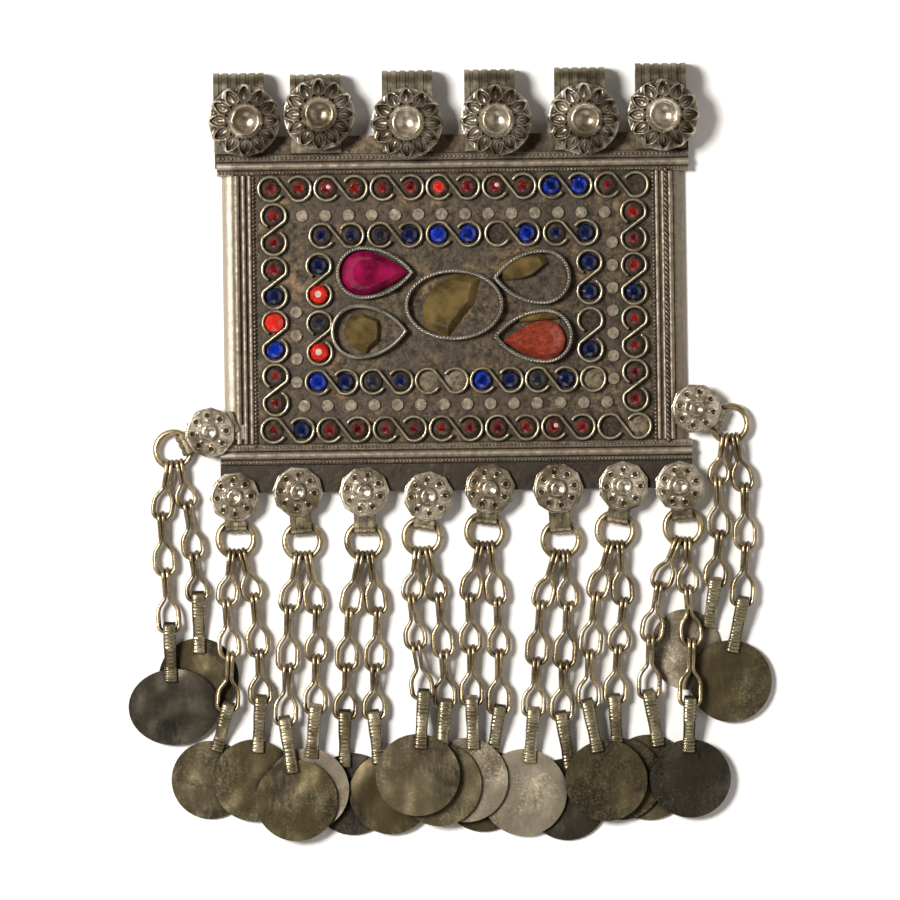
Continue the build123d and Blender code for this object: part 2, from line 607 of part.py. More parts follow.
def make_rosette():
    """The rosette of a strap loop: a polygonal rim, petals on a cone, and a raised ring with a dish."""
    rim = ROSETTE_DIAMETER / 2
    ring_middle = (ROSETTE_RING_OUTER + ROSETTE_RING_INNER) / 2
    ring_lip = ROSETTE_RING_HEIGHT - ROSETTE_RING_FALL
    dish_radius = (ROSETTE_RING_INNER**2 + ROSETTE_DISH**2) / (2 * ROSETTE_DISH)
    petal_place = (ROSETTE_RING_OUTER + rim) / 2
    with BuildPart() as petals:
        with BuildSketch():
            with PolarLocations(petal_place, PETALS):
                add(petal_outline(PETAL_LENGTH, PETAL_WIDTH))
                add(petal_outline(PETAL_LENGTH - 2 * PETAL_POINT_WALL, PETAL_WIDTH - 2 * PETAL_WALL),
                    mode=Mode.SUBTRACT)
        extrude(amount=ROSETTE_CONE + PETAL_RELIEF)
        with BuildSketch(Plane.XZ):
            with BuildLine():
                Polyline(*cone_outline(PETAL_RELIEF), close=True)
            make_face()
        revolve(axis=Axis.Z, mode=Mode.INTERSECT)
    with BuildPart() as rosette:
        with BuildSketch(Plane.XZ):
            with BuildLine():
                Polyline(*cone_outline(0), close=True)
            make_face()
        revolve(axis=Axis.Z)
        # The raised ring and the dish inside it
        with BuildSketch(Plane.XZ):
            with BuildLine():
                Polyline((ROSETTE_RING_OUTER, 0), (ROSETTE_RING_OUTER, ROSETTE_CONE),
                         (ring_middle, ROSETTE_RING_HEIGHT), (ROSETTE_RING_INNER, ring_lip),
                         (ROSETTE_RING_INNER, 0), close=True)
            make_face()
        revolve(axis=Axis.Z)
        with Locations((0, 0, ring_lip - ROSETTE_DISH + dish_radius)):
            Sphere(dish_radius, mode=Mode.SUBTRACT)
        add(petals.part)
        with BuildSketch():
            RegularPolygon(rim, ROSETTE_RIM_SIDES)
        extrude(amount=2 * ROSETTE_RING_HEIGHT, mode=Mode.INTERSECT)
    return rosette.part


def petal_outline(length, width):
    """A pointed oval along X."""
    with BuildSketch() as petal:
        with BuildLine():
            ThreePointArc((-length / 2, 0), (0, width / 2), (length / 2, 0))
            ThreePointArc((length / 2, 0), (0, -width / 2), (-length / 2, 0))
        make_face()
    return petal.sketch


def strap_side(reach):
    """Levels and places of a strap loop's middle line in its side view."""
    middle_low = SHEET_BASE - STRAP_GAP - STRAP_THICKNESS / 2
    middle_high = STRAP_HEIGHT - STRAP_THICKNESS / 2
    foot = FACE + STRAP_GAP + STRAP_THICKNESS / 2
    edge = PLATE_HEIGHT / 2
    bend = (middle_high - middle_low) / 2
    end = edge + reach - STRAP_THICKNESS / 2
    return middle_low, middle_high, foot, edge, bend, end


def make_strap_loop(loop, rosette):
    middle_low, middle_high, foot, edge, bend, end = strap_side(loop["reach"])
    rise_start = edge - STRAP_SETBACK
    with BuildPart() as strap:
        with BuildSketch(Plane.YZ.offset(loop["x"] - STRAP_WIDTH / 2)):
            with BuildLine():
                FilletPolyline((rise_start - STRAP_FOOT, foot), (rise_start, foot),
                               (rise_start + STRAP_RISE, middle_high), (end, middle_high),
                               (end, middle_low), (edge - STRAP_TUCK, middle_low),
                               radius=(STRAP_BEND, STRAP_BEND, bend * ROUNDING, bend * ROUNDING))
            trace(line_width=STRAP_THICKNESS)
        extrude(amount=STRAP_WIDTH)
        # Ribs run along the strap, round the bend and over the front
        for rib in spread(STRAP_RIBS, STRAP_WIDTH - STRAP_RIB_WIDTH):
            with BuildSketch(Plane.YZ.offset(loop["x"] + rib - STRAP_RIB_WIDTH / 2)):
                with BuildLine():
                    FilletPolyline((rise_start + STRAP_RISE + STRAP_RIB_START, middle_high),
                                   (end, middle_high),
                                   (end, middle_low + STRAP_THICKNESS),
                                   radius=bend * STRAP_RIB_ROUNDING)
                trace(line_width=STRAP_THICKNESS + 2 * STRAP_RIB_HEIGHT)
            extrude(amount=STRAP_RIB_WIDTH)
        with Locations(Location((loop["x"] + loop["rosette_x"], edge + loop["rosette_y"],
                                 STRAP_HEIGHT - BURIED), (loop["lean"][0], loop["lean"][1], 0))):
            add(rosette)
    return strap


def dome_height(reach):
    """Height of the small dome's skin at a reach from its middle, above its base."""
    return DOME_RIM + (DOME_HEIGHT - DOME_RIM) * (1 - (2 * reach / DOME_DIAMETER) ** 2)


def make_dome():
    """The small dome of a chain hanger, with a ring at the top and circles round it."""
    rim = DOME_DIAMETER / 2
    with BuildPart() as relief:
        with BuildSketch():
            with PolarLocations(DOME_CIRCLE_REACH, DOME_CIRCLES):
                Circle(DOME_CIRCLE_OUTER)
                Circle(DOME_CIRCLE_INNER, mode=Mode.SUBTRACT)
        extrude(amount=DOME_HEIGHT + DOME_RELIEF)
        with BuildSketch(Plane.XZ):
            with BuildLine():
                Polyline((0, DOME_HEIGHT + DOME_RELIEF), (0, 0), (rim, 0), (rim, DOME_RIM + DOME_RELIEF))
                ThreePointArc((rim, DOME_RIM + DOME_RELIEF), (rim / 2, dome_height(rim / 2) + DOME_RELIEF),
                              (0, DOME_HEIGHT + DOME_RELIEF))
            make_face()
        revolve(axis=Axis.Z, mode=Mode.INTERSECT)
    with BuildPart() as dome:
        with BuildSketch(Plane.XZ):
            with BuildLine():
                Polyline((0, DOME_HEIGHT), (0, 0), (rim, 0), (rim, DOME_RIM))
                ThreePointArc((rim, DOME_RIM), (rim / 2, dome_height(rim / 2)), (0, DOME_HEIGHT))
            make_face()
        revolve(axis=Axis.Z)
        add(relief.part)
        with BuildSketch(Plane.XY.offset(DOME_HEIGHT - DOME_BOSS_RISE)):
            Circle(DOME_BOSS_OUTER)
        extrude(amount=2 * DOME_BOSS_RISE)
        with BuildSketch(Plane.XY.offset(DOME_HEIGHT - DOME_BOSS_RISE)):
            Circle(DOME_BOSS_INNER)
        extrude(amount=2 * DOME_BOSS_RISE, mode=Mode.SUBTRACT)
    return dome.part


def make_hanger(hanger, dome):
    """A strap eye in its own frame, whose -Y points from the dome to the ring, turned into place."""
    across = hanger["ring"][0] - hanger["dome"][0]
    down = hanger["dome"][1] - hanger["ring"][1]
    reach = hypot(across, down)
    turn = degrees(atan2(across, down))
    ring_inside = sqrt((RING_RADIUS - RING_WIRE / 2) ** 2 - (HANGER_WIDTH / 2) ** 2)
    fold = -(reach - ring_inside - EYE_RADIUS + EYE_PLAY)
    low = CHAIN_LEVEL - EYE_RADIUS - HANGER_THICKNESS / 2
    high = CHAIN_LEVEL + EYE_RADIUS + HANGER_THICKNESS / 2
    if hanger["side"]:
        lip = PLATE_WIDTH / 2 - SIDE_INSET
        slant = abs(tan(radians(90 - abs(turn))))
        under = lip_reach(hanger, lip) - HANGER_GAP - HANGER_WIDTH / 2 * slant
        over = under + SEAT_SIZE + SEAT_OVERLAP
    else:
        under = HANGER_TUCK
        over = HANGER_TUCK
    radius = EYE_RADIUS + HANGER_THICKNESS / 2
    with BuildPart() as eye:
        with BuildSketch(Plane.YZ.offset(-HANGER_WIDTH / 2)):
            with BuildLine():
                Line((over, high), (fold, high))
                ThreePointArc((fold, high), (fold - radius, CHAIN_LEVEL), (fold, low))
                Line((fold, low), (under, low))
            trace(line_width=HANGER_THICKNESS)
        extrude(amount=HANGER_WIDTH)
        for rib in (-HANGER_RIB_PITCH, 0, HANGER_RIB_PITCH):
            with BuildSketch(Plane.YZ.offset(rib - HANGER_RIB_WIDTH / 2)):
                with BuildLine():
                    Line((0, high), (fold, high))
                    ThreePointArc((fold, high), (fold - radius * sin(radians(45)),
                                                 CHAIN_LEVEL + radius * cos(radians(45))),
                                  (fold - radius, CHAIN_LEVEL))
                trace(line_width=HANGER_THICKNESS + 2 * HANGER_RIB_HEIGHT)
            extrude(amount=HANGER_RIB_WIDTH)
        with BuildSketch(Plane.YZ.offset(-HANGER_WIDTH / 2)):
            with Locations((fold, CHAIN_LEVEL)):
                Circle(EYE_RADIUS)
            with BuildLine():
                Polyline((fold, CHAIN_LEVEL - EYE_RADIUS), (over, CHAIN_LEVEL - EYE_RADIUS),
                         (over, CHAIN_LEVEL + EYE_RADIUS), (fold, CHAIN_LEVEL + EYE_RADIUS), close=True)
            make_face()
        extrude(amount=HANGER_WIDTH, mode=Mode.SUBTRACT)
        with Locations((0, 0, CHAIN_LEVEL + EYE_RADIUS + HANGER_THICKNESS)):
            add(dome)
    with BuildPart() as placed:
        with Locations(Location((*hanger["dome"], 0), (0, 0, turn))):
            add(eye.part)
    return placed


def lip_reach(hanger, lip):
    """Distance from a side dome's centre to the plate's edge, against the way that its strap points."""
    across = abs(hanger["ring"][0] - hanger["dome"][0])
    down = hanger["dome"][1] - hanger["ring"][1]
    return (abs(hanger["dome"][0]) - lip) / (across / hypot(across, down))


def link_layer(side, fold, lobe, last, length, hook, drop, skew):
    """Corners and bend radii of one of a link's two layers, from the middle of one fold to the other."""
    neck = LINK_NECK_SHARE * length
    end = length + drop
    reach = skew * side
    half = [(fold, -LINK_FOLD, 0), (fold, -LINK_FOLD, side * LINK_FOLD), (fold, hook, side * LINK_FOLD),
            (LINK_NECK, neck, side * LINK_LAYER), (lobe, neck + LINK_SHOULDER, side * LINK_LAYER),
            (lobe, end, side * LINK_LAYER)]
    other = [(-x, y, z) for x, y, z in half]
    around = slice(4, 6)
    half[around] = [(x + reach, y, z) for x, y, z in half[around]]
    other[around] = [(x + reach, y, z) for x, y, z in other[around]]
    bends = [LINK_FOLD * ROUNDING, LINK_BEND, LINK_BEND, LINK_SHOULDER_BEND, lobe_bend(lobe, last)]
    return half + other[::-1], bends + bends[::-1]


def lobe_bend(lobe, last):
    """Bend radius of a lobe's end. The last link's is flatter, for the wide bail that hangs on it."""
    return LINK_LAST_BEND if last else lobe * ROUNDING


def lobe_drop(lobe, last, fold):
    """How far a lobe's end lies below the joint, so that the next piece's folds are centred on its wire."""
    bend = lobe_bend(lobe, last)
    sags = []
    for reach in (abs(fold - LINK_SKEW), fold + LINK_SKEW):
        past = max(reach - lobe + bend, 0)
        sags.append(bend - sqrt(bend**2 - past**2))
    return sum(sags) / 2


def make_link(start, end, layers):
    """One folded link from the point where it hooks on to the point where the next one hooks on."""
    along = Vector(*end) - Vector(*start)
    across = Vector(along.Y, -along.X, 0)
    place = Plane(origin=start, x_dir=across, z_dir=across.cross(along))
    with BuildPart() as link:
        for corners, bends in layers:
            with BuildLine(place) as path:
                FilletPolyline(*corners, radius=bends)
            with BuildSketch(Plane(origin=path.line @ 0, z_dir=path.line % 0)):
                Circle(LINK_WIRE / 2)
            sweep(path=path.wires()[0])
    return link.part


def route_points(strand):
    """The joints of a strand, from the jump ring to the bail."""
    ring = HANGERS[strand["ring"] - 1]["ring"]
    hang = radians(strand["hang"])
    points = [(ring[0] + RING_RADIUS * sin(hang), ring[1] - RING_RADIUS * cos(hang), CHAIN_LEVEL)]
    return points + [(x, y, CHAIN_LEVEL + lift) for x, y, lift in strand["route"]]


def strand_links(strand):
    """The three links of a strand, each as its two joints and its two layers."""
    points = route_points(strand)
    folds = list(strand["fold"]) + [BAIL_WIDTH / 2]
    links = []
    hook = LINK_HOOK_RING
    for k, lobe in enumerate(LINK_LOBES):
        last = k == len(LINK_LOBES) - 1
        length = (Vector(*points[k + 1]) - Vector(*points[k])).length
        drop = lobe_drop(lobe, last, folds[k + 1])
        skew = LINK_SKEW if (k + strand["ring"]) % 2 else -LINK_SKEW
        layers = [link_layer(side, folds[k], lobe, last, length, hook, drop, skew) for side in (1, -1)]
        links.append((points[k], points[k + 1], layers))
        hook = LINK_HOOK + drop
    return links


def make_ring(centre):
    with BuildPart() as ring:
        with BuildSketch(Plane(origin=(centre[0] + RING_RADIUS, centre[1], CHAIN_LEVEL), z_dir=(0, 1, 0))):
            Circle(RING_WIRE / 2)
        revolve(axis=Axis((*centre, 0), (0, 0, 1)))
    return ring.part


def disc_base(layer):
    return FLOOR_GAP + layer * (DISC_THICKNESS + DISC_LEVEL_GAP)


def rim_crossing(eye, disc):
    """Distance from a bail's eye to the disc's edge, on the line to the point where its tongue ends."""
    dx = disc["grip"][0] - eye[0]
    dy = disc["grip"][1] - eye[1]
    length = hypot(dx, dy)
    slope_x = 2 * dx / length / disc["width"]
    slope_y = 2 * dy / length / disc["height"]
    from_x = 2 * (eye[0] - disc["centre"][0]) / disc["width"]
    from_y = 2 * (eye[1] - disc["centre"][1]) / disc["height"]
    square = slope_x**2 + slope_y**2
    cross = slope_x * from_x + slope_y * from_y
    return (-cross - sqrt(cross**2 - square * (from_x**2 + from_y**2 - 1))) / square


def bail_profile(strand):
    """Side view of a bail in its length and Z: its outline, its hollow, its ribs and its eye's place."""
    disc = DISCS[strand["name"]]
    eye = route_points(strand)[-1]
    rim = rim_crossing(eye, disc)
    end = hypot(disc["grip"][0] - eye[0], disc["grip"][1] - eye[1])
    base = disc_base(disc["layer"])
    top = base + DISC_THICKNESS
    level = eye[2]
    start = -BAIL_EYE_RISE
    flat = rim - BURIED
    back = rim - BAIL_BACK
    slope = (top + BAIL_STRAP - level - BAIL_EYE) / (flat + start)

    def front(y):
        return top + BAIL_STRAP + slope * (y - flat) if y < flat else top + BAIL_STRAP

    outline = [(start, level + BAIL_EYE), (-start, level + BAIL_EYE), (flat, front(flat)), (end, front(end)),
               (end, top - BURIED), (rim + BURIED, top - BURIED), (rim + BURIED, base), (back, base),
               (-start, level - BAIL_EYE), (start, level - BAIL_EYE)]
    hollow_end = back - BAIL_HOLLOW_END
    under = base + (level - BAIL_EYE - base) * BAIL_HOLLOW_END / (back + start)
    hollow = [(start, level + BAIL_HOLE), (-start, level + BAIL_HOLE),
              (hollow_end, (front(hollow_end) + under) / 2), (-start, level - BAIL_HOLE),
              (start, level - BAIL_HOLE)]
    ribs = []
    for k in range(BAIL_RIBS):
        for y in (BAIL_RIB_START + k * BAIL_RIB_PITCH, end - BAIL_RIB_END - k * BAIL_RIB_PITCH):
            ribs.append((y, front(y)))
    return outline, hollow, ribs, (start, level)


def make_drop(strand):
    """A disc and its ribbed bail in one solid. The bail's strap goes round the last link, down the
    front onto the disc and down the back to the disc's rim."""
    disc = DISCS[strand["name"]]
    eye = route_points(strand)[-1]
    outline, hollow, ribs, eye_place = bail_profile(strand)
    along = Vector(disc["grip"][0] - eye[0], disc["grip"][1] - eye[1]).normalized()
    across = Vector(along.Y, -along.X)
    corner = Vector(eye[0], eye[1]) - across * (BAIL_WIDTH / 2)
    with BuildPart() as drop:
        with BuildSketch(Plane.XY.offset(disc_base(disc["layer"]))):
            with Locations(disc["centre"]):
                Ellipse(disc["width"] / 2, disc["height"] / 2)
        extrude(amount=DISC_THICKNESS)
        with BuildSketch(Plane(origin=corner, x_dir=along, z_dir=across)):
            Polygon(*outline, align=None)
            with Locations(eye_place):
                Circle(BAIL_EYE)
                Circle(BAIL_HOLE, mode=Mode.SUBTRACT)
            Polygon(*hollow, align=None, mode=Mode.SUBTRACT)
            with Locations(*ribs):
                Circle(BAIL_RIB)
        extrude(amount=BAIL_WIDTH)
    return drop


pieces = {}
pieces["plate"] = make_plate()
pieces["outer_stones"] = make_stones("outer")
pieces["inner_stones"] = make_stones("inner")
pieces["pink_pear_stone"] = make_pear("upper_left", PINK_LENGTH, PINK_WIDTH, PINK_HEIGHT, (-0.2, 0.0))
pieces["red_pear_stone"] = make_pear("lower_right", RED_LENGTH, RED_WIDTH, RED_HEIGHT, (0.2, -0.9))
for flake in FLAKES:
    pieces[flake["name"]] = make_flake(flake)
pieces["foil_scrap"] = make_foil_scrap()
rosette_shape = make_rosette()
for number, loop in enumerate(STRAP_LOOPS, 1):
    pieces[f"strap_loop_{number}"] = make_strap_loop(loop, rosette_shape)
dome_shape = make_dome()
for number, hanger in enumerate(HANGERS, 1):
    pieces[f"drop_hanger_{number:02d}"] = make_hanger(hanger, dome_shape)
for number, hanger in enumerate(HANGERS, 1):
    with BuildPart() as chain:
        add(make_ring(hanger["ring"]))
        for strand in STRANDS:
            if strand["ring"] == number:
                for start, end, layers in strand_links(strand):
                    add(make_link(start, end, layers))
    pieces[f"chain_{number:02d}"] = chain
for strand in STRANDS:
    pieces[f"disc_drop_{strand['name']}"] = make_drop(strand)

# Everything is set down so that the origin is under the middle of its outline
boxes = [piece.part.bounding_box() for piece in pieces.values()]
middle_x = (min(box.min.X for box in boxes) + max(box.max.X for box in boxes)) / 2
middle_y = (min(box.min.Y for box in boxes) + max(box.max.Y for box in boxes)) / 2
floor = min(box.min.Z for box in boxes)
os.makedirs("parts", exist_ok=True)
for name, piece in pieces.items():
    piece.part = piece.part.moved(Location((-middle_x, -middle_y, -floor)))
    piece.part.label = name
    export_step(piece.part, f"parts/{name}.step")
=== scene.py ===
import bpy
from math import acos, atan2, cos, exp, hypot, pi, radians, sin, sqrt
from mathutils import Euler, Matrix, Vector


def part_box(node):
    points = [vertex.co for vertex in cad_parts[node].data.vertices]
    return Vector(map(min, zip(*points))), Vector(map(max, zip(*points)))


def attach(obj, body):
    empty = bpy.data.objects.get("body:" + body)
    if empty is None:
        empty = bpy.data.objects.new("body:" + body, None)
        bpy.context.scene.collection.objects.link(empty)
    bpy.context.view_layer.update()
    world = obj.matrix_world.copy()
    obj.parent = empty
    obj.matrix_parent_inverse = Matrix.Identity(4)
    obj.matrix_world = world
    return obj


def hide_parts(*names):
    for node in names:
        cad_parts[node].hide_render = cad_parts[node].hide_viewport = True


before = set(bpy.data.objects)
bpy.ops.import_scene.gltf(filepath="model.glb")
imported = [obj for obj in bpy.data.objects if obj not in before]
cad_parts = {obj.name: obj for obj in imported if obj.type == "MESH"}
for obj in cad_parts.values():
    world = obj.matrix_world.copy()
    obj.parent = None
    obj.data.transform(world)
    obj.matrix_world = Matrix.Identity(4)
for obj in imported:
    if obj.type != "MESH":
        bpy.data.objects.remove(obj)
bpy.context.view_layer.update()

# Lengths below are in millimetres from the plate's centre, and become metres in the row's frame
MM = 0.001
low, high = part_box("plate")
PLATE_X = (low.x + high.x) / 2
PLATE_Y = (low.y + high.y) / 2
PLATE_HEIGHT = 80.0
FACE = 2.2
CELL_RADIUS = 2.72


def place(x, y, z):
    """A spot in the row's frame, from millimetres off the plate's centre."""
    return Vector((PLATE_X + x * MM, PLATE_Y + y * MM, z * MM))


def spread(count, span):
    """Even positions over a span, with zero in its middle."""
    return [span * (i / (count - 1) - 0.5) for i in range(count)]


def wobble(*values):
    """A repeatable number from 0 to 1 that differs from place to place."""
    total = 0.0
    for k, value in enumerate(values):
        total += sin(value * 12.9898 + k * 78.233) * 43758.5453
    return total - int(total) if total >= 0 else total - int(total) + 1


# ---- materials

def opaque(colour):
    """A plain colour with its alpha, or a socket as it is."""
    return (*colour, 1.0) if isinstance(colour, tuple) else colour


def darker(colour, share):
    return tuple(channel * share for channel in colour)


class Nodes:
    """A small helper that adds shader nodes to one material."""

    def __init__(self, name):
        self.mat = bpy.data.materials.new(name)
        self.mat.use_nodes = True
        self.tree = self.mat.node_tree
        self.bsdf = self.tree.nodes["Principled BSDF"]
        self.coords = self.tree.nodes.new("ShaderNodeTexCoord").outputs["Object"]

    def node(self, kind):
        return self.tree.nodes.new(kind)

    def link(self, a, b):
        self.tree.links.new(a, b)

    def put(self, socket, value):
        if isinstance(value, bpy.types.NodeSocket):
            self.link(value, socket)
        else:
            socket.default_value = value

    def noise(self, scale, detail=4.0, rough=0.6, vector=None, distortion=0.0):
        n = self.node("ShaderNodeTexNoise")
        n.inputs["Scale"].default_value = scale
        n.inputs["Detail"].default_value = detail
        n.inputs["Roughness"].default_value = rough
        n.inputs["Distortion"].default_value = distortion
        self.link(vector or self.coords, n.inputs["Vector"])
        return n.outputs["Fac"]

    def math(self, kind, a, b=0.0, clamp=False):
        n = self.node("ShaderNodeMath")
        n.operation = kind
        n.use_clamp = clamp
        self.put(n.inputs[0], a)
        self.put(n.inputs[1], b)
        return n.outputs[0]

    def ramp(self, value, low_at, high_at, low_to=0.0, high_to=1.0):
        n = self.node("ShaderNodeMapRange")
        n.interpolation_type = "SMOOTHSTEP"
        self.link(value, n.inputs["Value"])
        n.inputs["From Min"].default_value = low_at
        n.inputs["From Max"].default_value = high_at
        n.inputs["To Min"].default_value = low_to
        n.inputs["To Max"].default_value = high_to
        return n.outputs["Result"]

    def mix(self, share, a, b):
        n = self.node("ShaderNodeMix")
        n.data_type = "RGBA"
        self.put(n.inputs[0], share)
        self.put(n.inputs[6], opaque(a))
        self.put(n.inputs[7], opaque(b))
        return n.outputs[2]

    def axis(self, letter):
        n = self.node("ShaderNodeSeparateXYZ")
        self.link(self.coords, n.inputs[0])
        return n.outputs[letter]

    def crevice(self, reach):
        n = self.node("ShaderNodeAmbientOcclusion")
        n.samples = 6
        n.inputs["Distance"].default_value = reach
        return n.outputs["AO"]

    def bump(self, height, strength, reach, before=None):
        n = self.node("ShaderNodeBump")
        n.inputs["Strength"].default_value = strength
        n.inputs["Distance"].default_value = reach
        self.link(height, n.inputs["Height"])
        if before is not None:
            self.link(before, n.inputs["Normal"])
        return n.outputs["Normal"]

    def done(self, colour, rough, metallic, normal=None):
        self.put(self.bsdf.inputs["Base Color"], opaque(colour))
        self.put(self.bsdf.inputs["Roughness"], rough)
        self.put(self.bsdf.inputs["Metallic"], metallic)
        if normal is not None:
            self.link(normal, self.bsdf.inputs["Normal"])
        return self.mat


SHELTER_ROUGHNESS = 0.25


def old_silver(name, bright, dull, crevice_shade, shine, reach=0.0016, crevice_shade_share=1.0, shade_from=0.42,
               unshaded_at=0.92):
    """Worn metal: bright where it is rubbed and dull in patches, with painted shade darkening its crevices
    by ambient occlusion.

    Shine holds the lowest and the highest roughness. Reach is how near a wall must be for painted shade to
    fall on a spot.
    """
    speck_share = 0.35
    n = Nodes(name)
    patches = n.ramp(n.noise(scale=130.0, detail=6.0, rough=0.65), low_at=0.36, high_at=0.66)
    specks = n.ramp(n.noise(scale=1400.0, detail=3.0), low_at=0.42, high_at=0.62)
    colour = n.mix(patches, bright, dull)
    colour = n.mix(n.math("MULTIPLY", specks, speck_share), colour, dull)
    # Painted shade: crevices found by ambient occlusion are mixed towards the dark colour
    ao_shade = n.ramp(n.crevice(reach), shade_from, unshaded_at, low_to=crevice_shade_share, high_to=0.0)
    colour = n.mix(ao_shade, colour, crevice_shade)
    rough = n.ramp(n.noise(scale=320.0, detail=5.0, rough=0.7), 0.3, 0.7, *shine)
    rough = n.math("ADD", rough, n.math("MULTIPLY", ao_shade, SHELTER_ROUGHNESS), clamp=True)
    grain = n.bump(n.noise(scale=900.0, detail=5.0, rough=0.7), strength=0.25, reach=0.0002)
    dents = n.bump(n.noise(scale=240.0, detail=2.0, rough=0.5), strength=0.35, reach=0.0005, before=grain)
    return n.done(colour, rough, metallic=0.9, normal=dents)


def patina(name, light, mid, dark, seed):
    """A thin disc of old metal: cloudy patina, fine scratches and small dark pits."""
    streak_share = 0.18
    pit_share = 0.85
    # Dark colour for the real pits, and also for painted shade in crevices
    grime = darker(dark, 0.3)
    n = Nodes(name)
    moved = n.node("ShaderNodeMapping")
    moved.inputs["Location"].default_value = (seed * 0.37, seed * 0.61, 0.0)
    n.link(n.coords, moved.inputs["Vector"])
    vector = moved.outputs["Vector"]
    turned = n.node("ShaderNodeMapping")
    turned.inputs["Rotation"].default_value = (0.0, 0.0, seed * 0.9)
    turned.inputs["Scale"].default_value = (1.4, 0.5, 1.0)
    n.link(vector, turned.inputs["Vector"])
    streak_vector = turned.outputs["Vector"]
    clouds = n.ramp(n.noise(scale=70.0, detail=8.0, rough=0.72, vector=vector, distortion=0.6), 0.40, 0.60)
    streaks = n.ramp(n.noise(scale=900.0, vector=streak_vector), low_at=0.45, high_at=0.7)
    pits = n.ramp(n.noise(scale=1100.0, detail=6.0, rough=0.75, vector=vector), low_at=0.56, high_at=0.7)
    flecks = n.ramp(n.noise(scale=1900.0, rough=0.7, vector=vector), low_at=0.5, high_at=0.66)
    wear = n.noise(scale=45.0, detail=3.0, rough=0.5, vector=vector)
    worn = n.ramp(wear, 0.4, 0.65, low_to=0.5, high_to=0.05)
    colour = n.mix(clouds, mid, dark)
    colour = n.mix(n.math("MULTIPLY", streaks, streak_share), colour, light)
    colour = n.mix(n.math("MULTIPLY", flecks, worn), colour, light)
    colour = n.mix(n.math("MULTIPLY", pits, pit_share), colour, grime)
    # Painted shade: crevices found by ambient occlusion, such as under the bail, take the dark colour of the
    # pits
    ao_shade = n.ramp(n.crevice(0.0028), low_at=0.45, high_at=0.92, low_to=0.85, high_to=0.0)
    colour = n.mix(ao_shade, colour, grime)
    rough = n.ramp(clouds, 0.0, 1.0, low_to=0.28, high_to=0.5)
    grain = n.bump(pits, strength=0.12, reach=0.0001)
    dents = n.bump(n.noise(scale=55.0, detail=2.0, rough=0.5, vector=vector), strength=0.9, reach=0.0032,
                   before=grain)
    return n.done(colour, rough, metallic=0.75, normal=dents)


def glass(name, colour, rough=0.08, clear=0.35, metallic=0.0, coat=0.6, cloud=700.0, depth=0.25,
          swirl=0.8, edge=0.14):
    """Old glass or foiled paste: deep colour with dark clouds, a few scratches and a glossy skin.

    Cloud is the fineness of the clouds, depth their darkness, and edge how softly they begin.
    """
    rubbed_roughness = 0.18
    n = Nodes(name)
    clouds = n.ramp(n.noise(scale=cloud, distortion=swirl), 0.5 - edge, 0.5 + edge)
    body = n.mix(clouds, colour, darker(colour, depth))
    scratches = n.bump(n.noise(scale=1500.0, detail=3.0), strength=0.06, reach=0.0001)
    surface = n.ramp(n.noise(scale=500.0, detail=3.0, rough=0.5), 0.3, 0.8, rough, rough + rubbed_roughness)
    n.bsdf.inputs["Transmission Weight"].default_value = clear
    n.bsdf.inputs["Coat Weight"].default_value = coat
    n.bsdf.inputs["Coat Roughness"].default_value = 0.06
    n.bsdf.inputs["IOR"].default_value = 1.5
    return n.done(body, surface, metallic, scratches)


# Zones of the plate: half sizes of the field of stones, levels over the face, and border lines
FIELD_SHIFT = (0.2, 1.0)
FIELD_HALF_WIDTH = 44.4
FIELD_HALF_HEIGHT = 31.0
STUD_LEVELS = (0.05, 0.3)
WIRE_LEVELS = (0.7, 1.0)
BEZEL_LEVELS = (1.4, 1.7)
BAND_TOP = -33.8
FLANGE_EDGE = (49.2, 50.4)
FLANGE_HALF_HEIGHT = 33.0
FLANGE_FADE = 40.0
PLATE_TONES = dict(
    field_dark=(0.018, 0.013, 0.008), field_light=(0.15, 0.108, 0.062), field_dull=(0.05, 0.036, 0.024),
    field_warm=(0.23, 0.145, 0.07), grime=(0.011, 0.008, 0.005),
    stud=(0.27, 0.222, 0.158), stud_dark=(0.085, 0.065, 0.042),
    wire_shade=(0.10, 0.08, 0.05), wire_shade_dark=(0.035, 0.028, 0.018),
    bezel=(0.21, 0.185, 0.14), bezel_dark=(0.085, 0.073, 0.053),
    border=(0.14, 0.102, 0.06), border_dull=(0.06, 0.043, 0.026), border_dark=(0.03, 0.022, 0.014),
    border_warm=(0.11, 0.06, 0.028), band=(0.022, 0.015, 0.009),
    rail=(0.33, 0.27, 0.20), rail_dark=(0.13, 0.10, 0.07),
    flange_sheen=(0.40, 0.345, 0.27), ao_shade=(0.028, 0.02, 0.013),
)


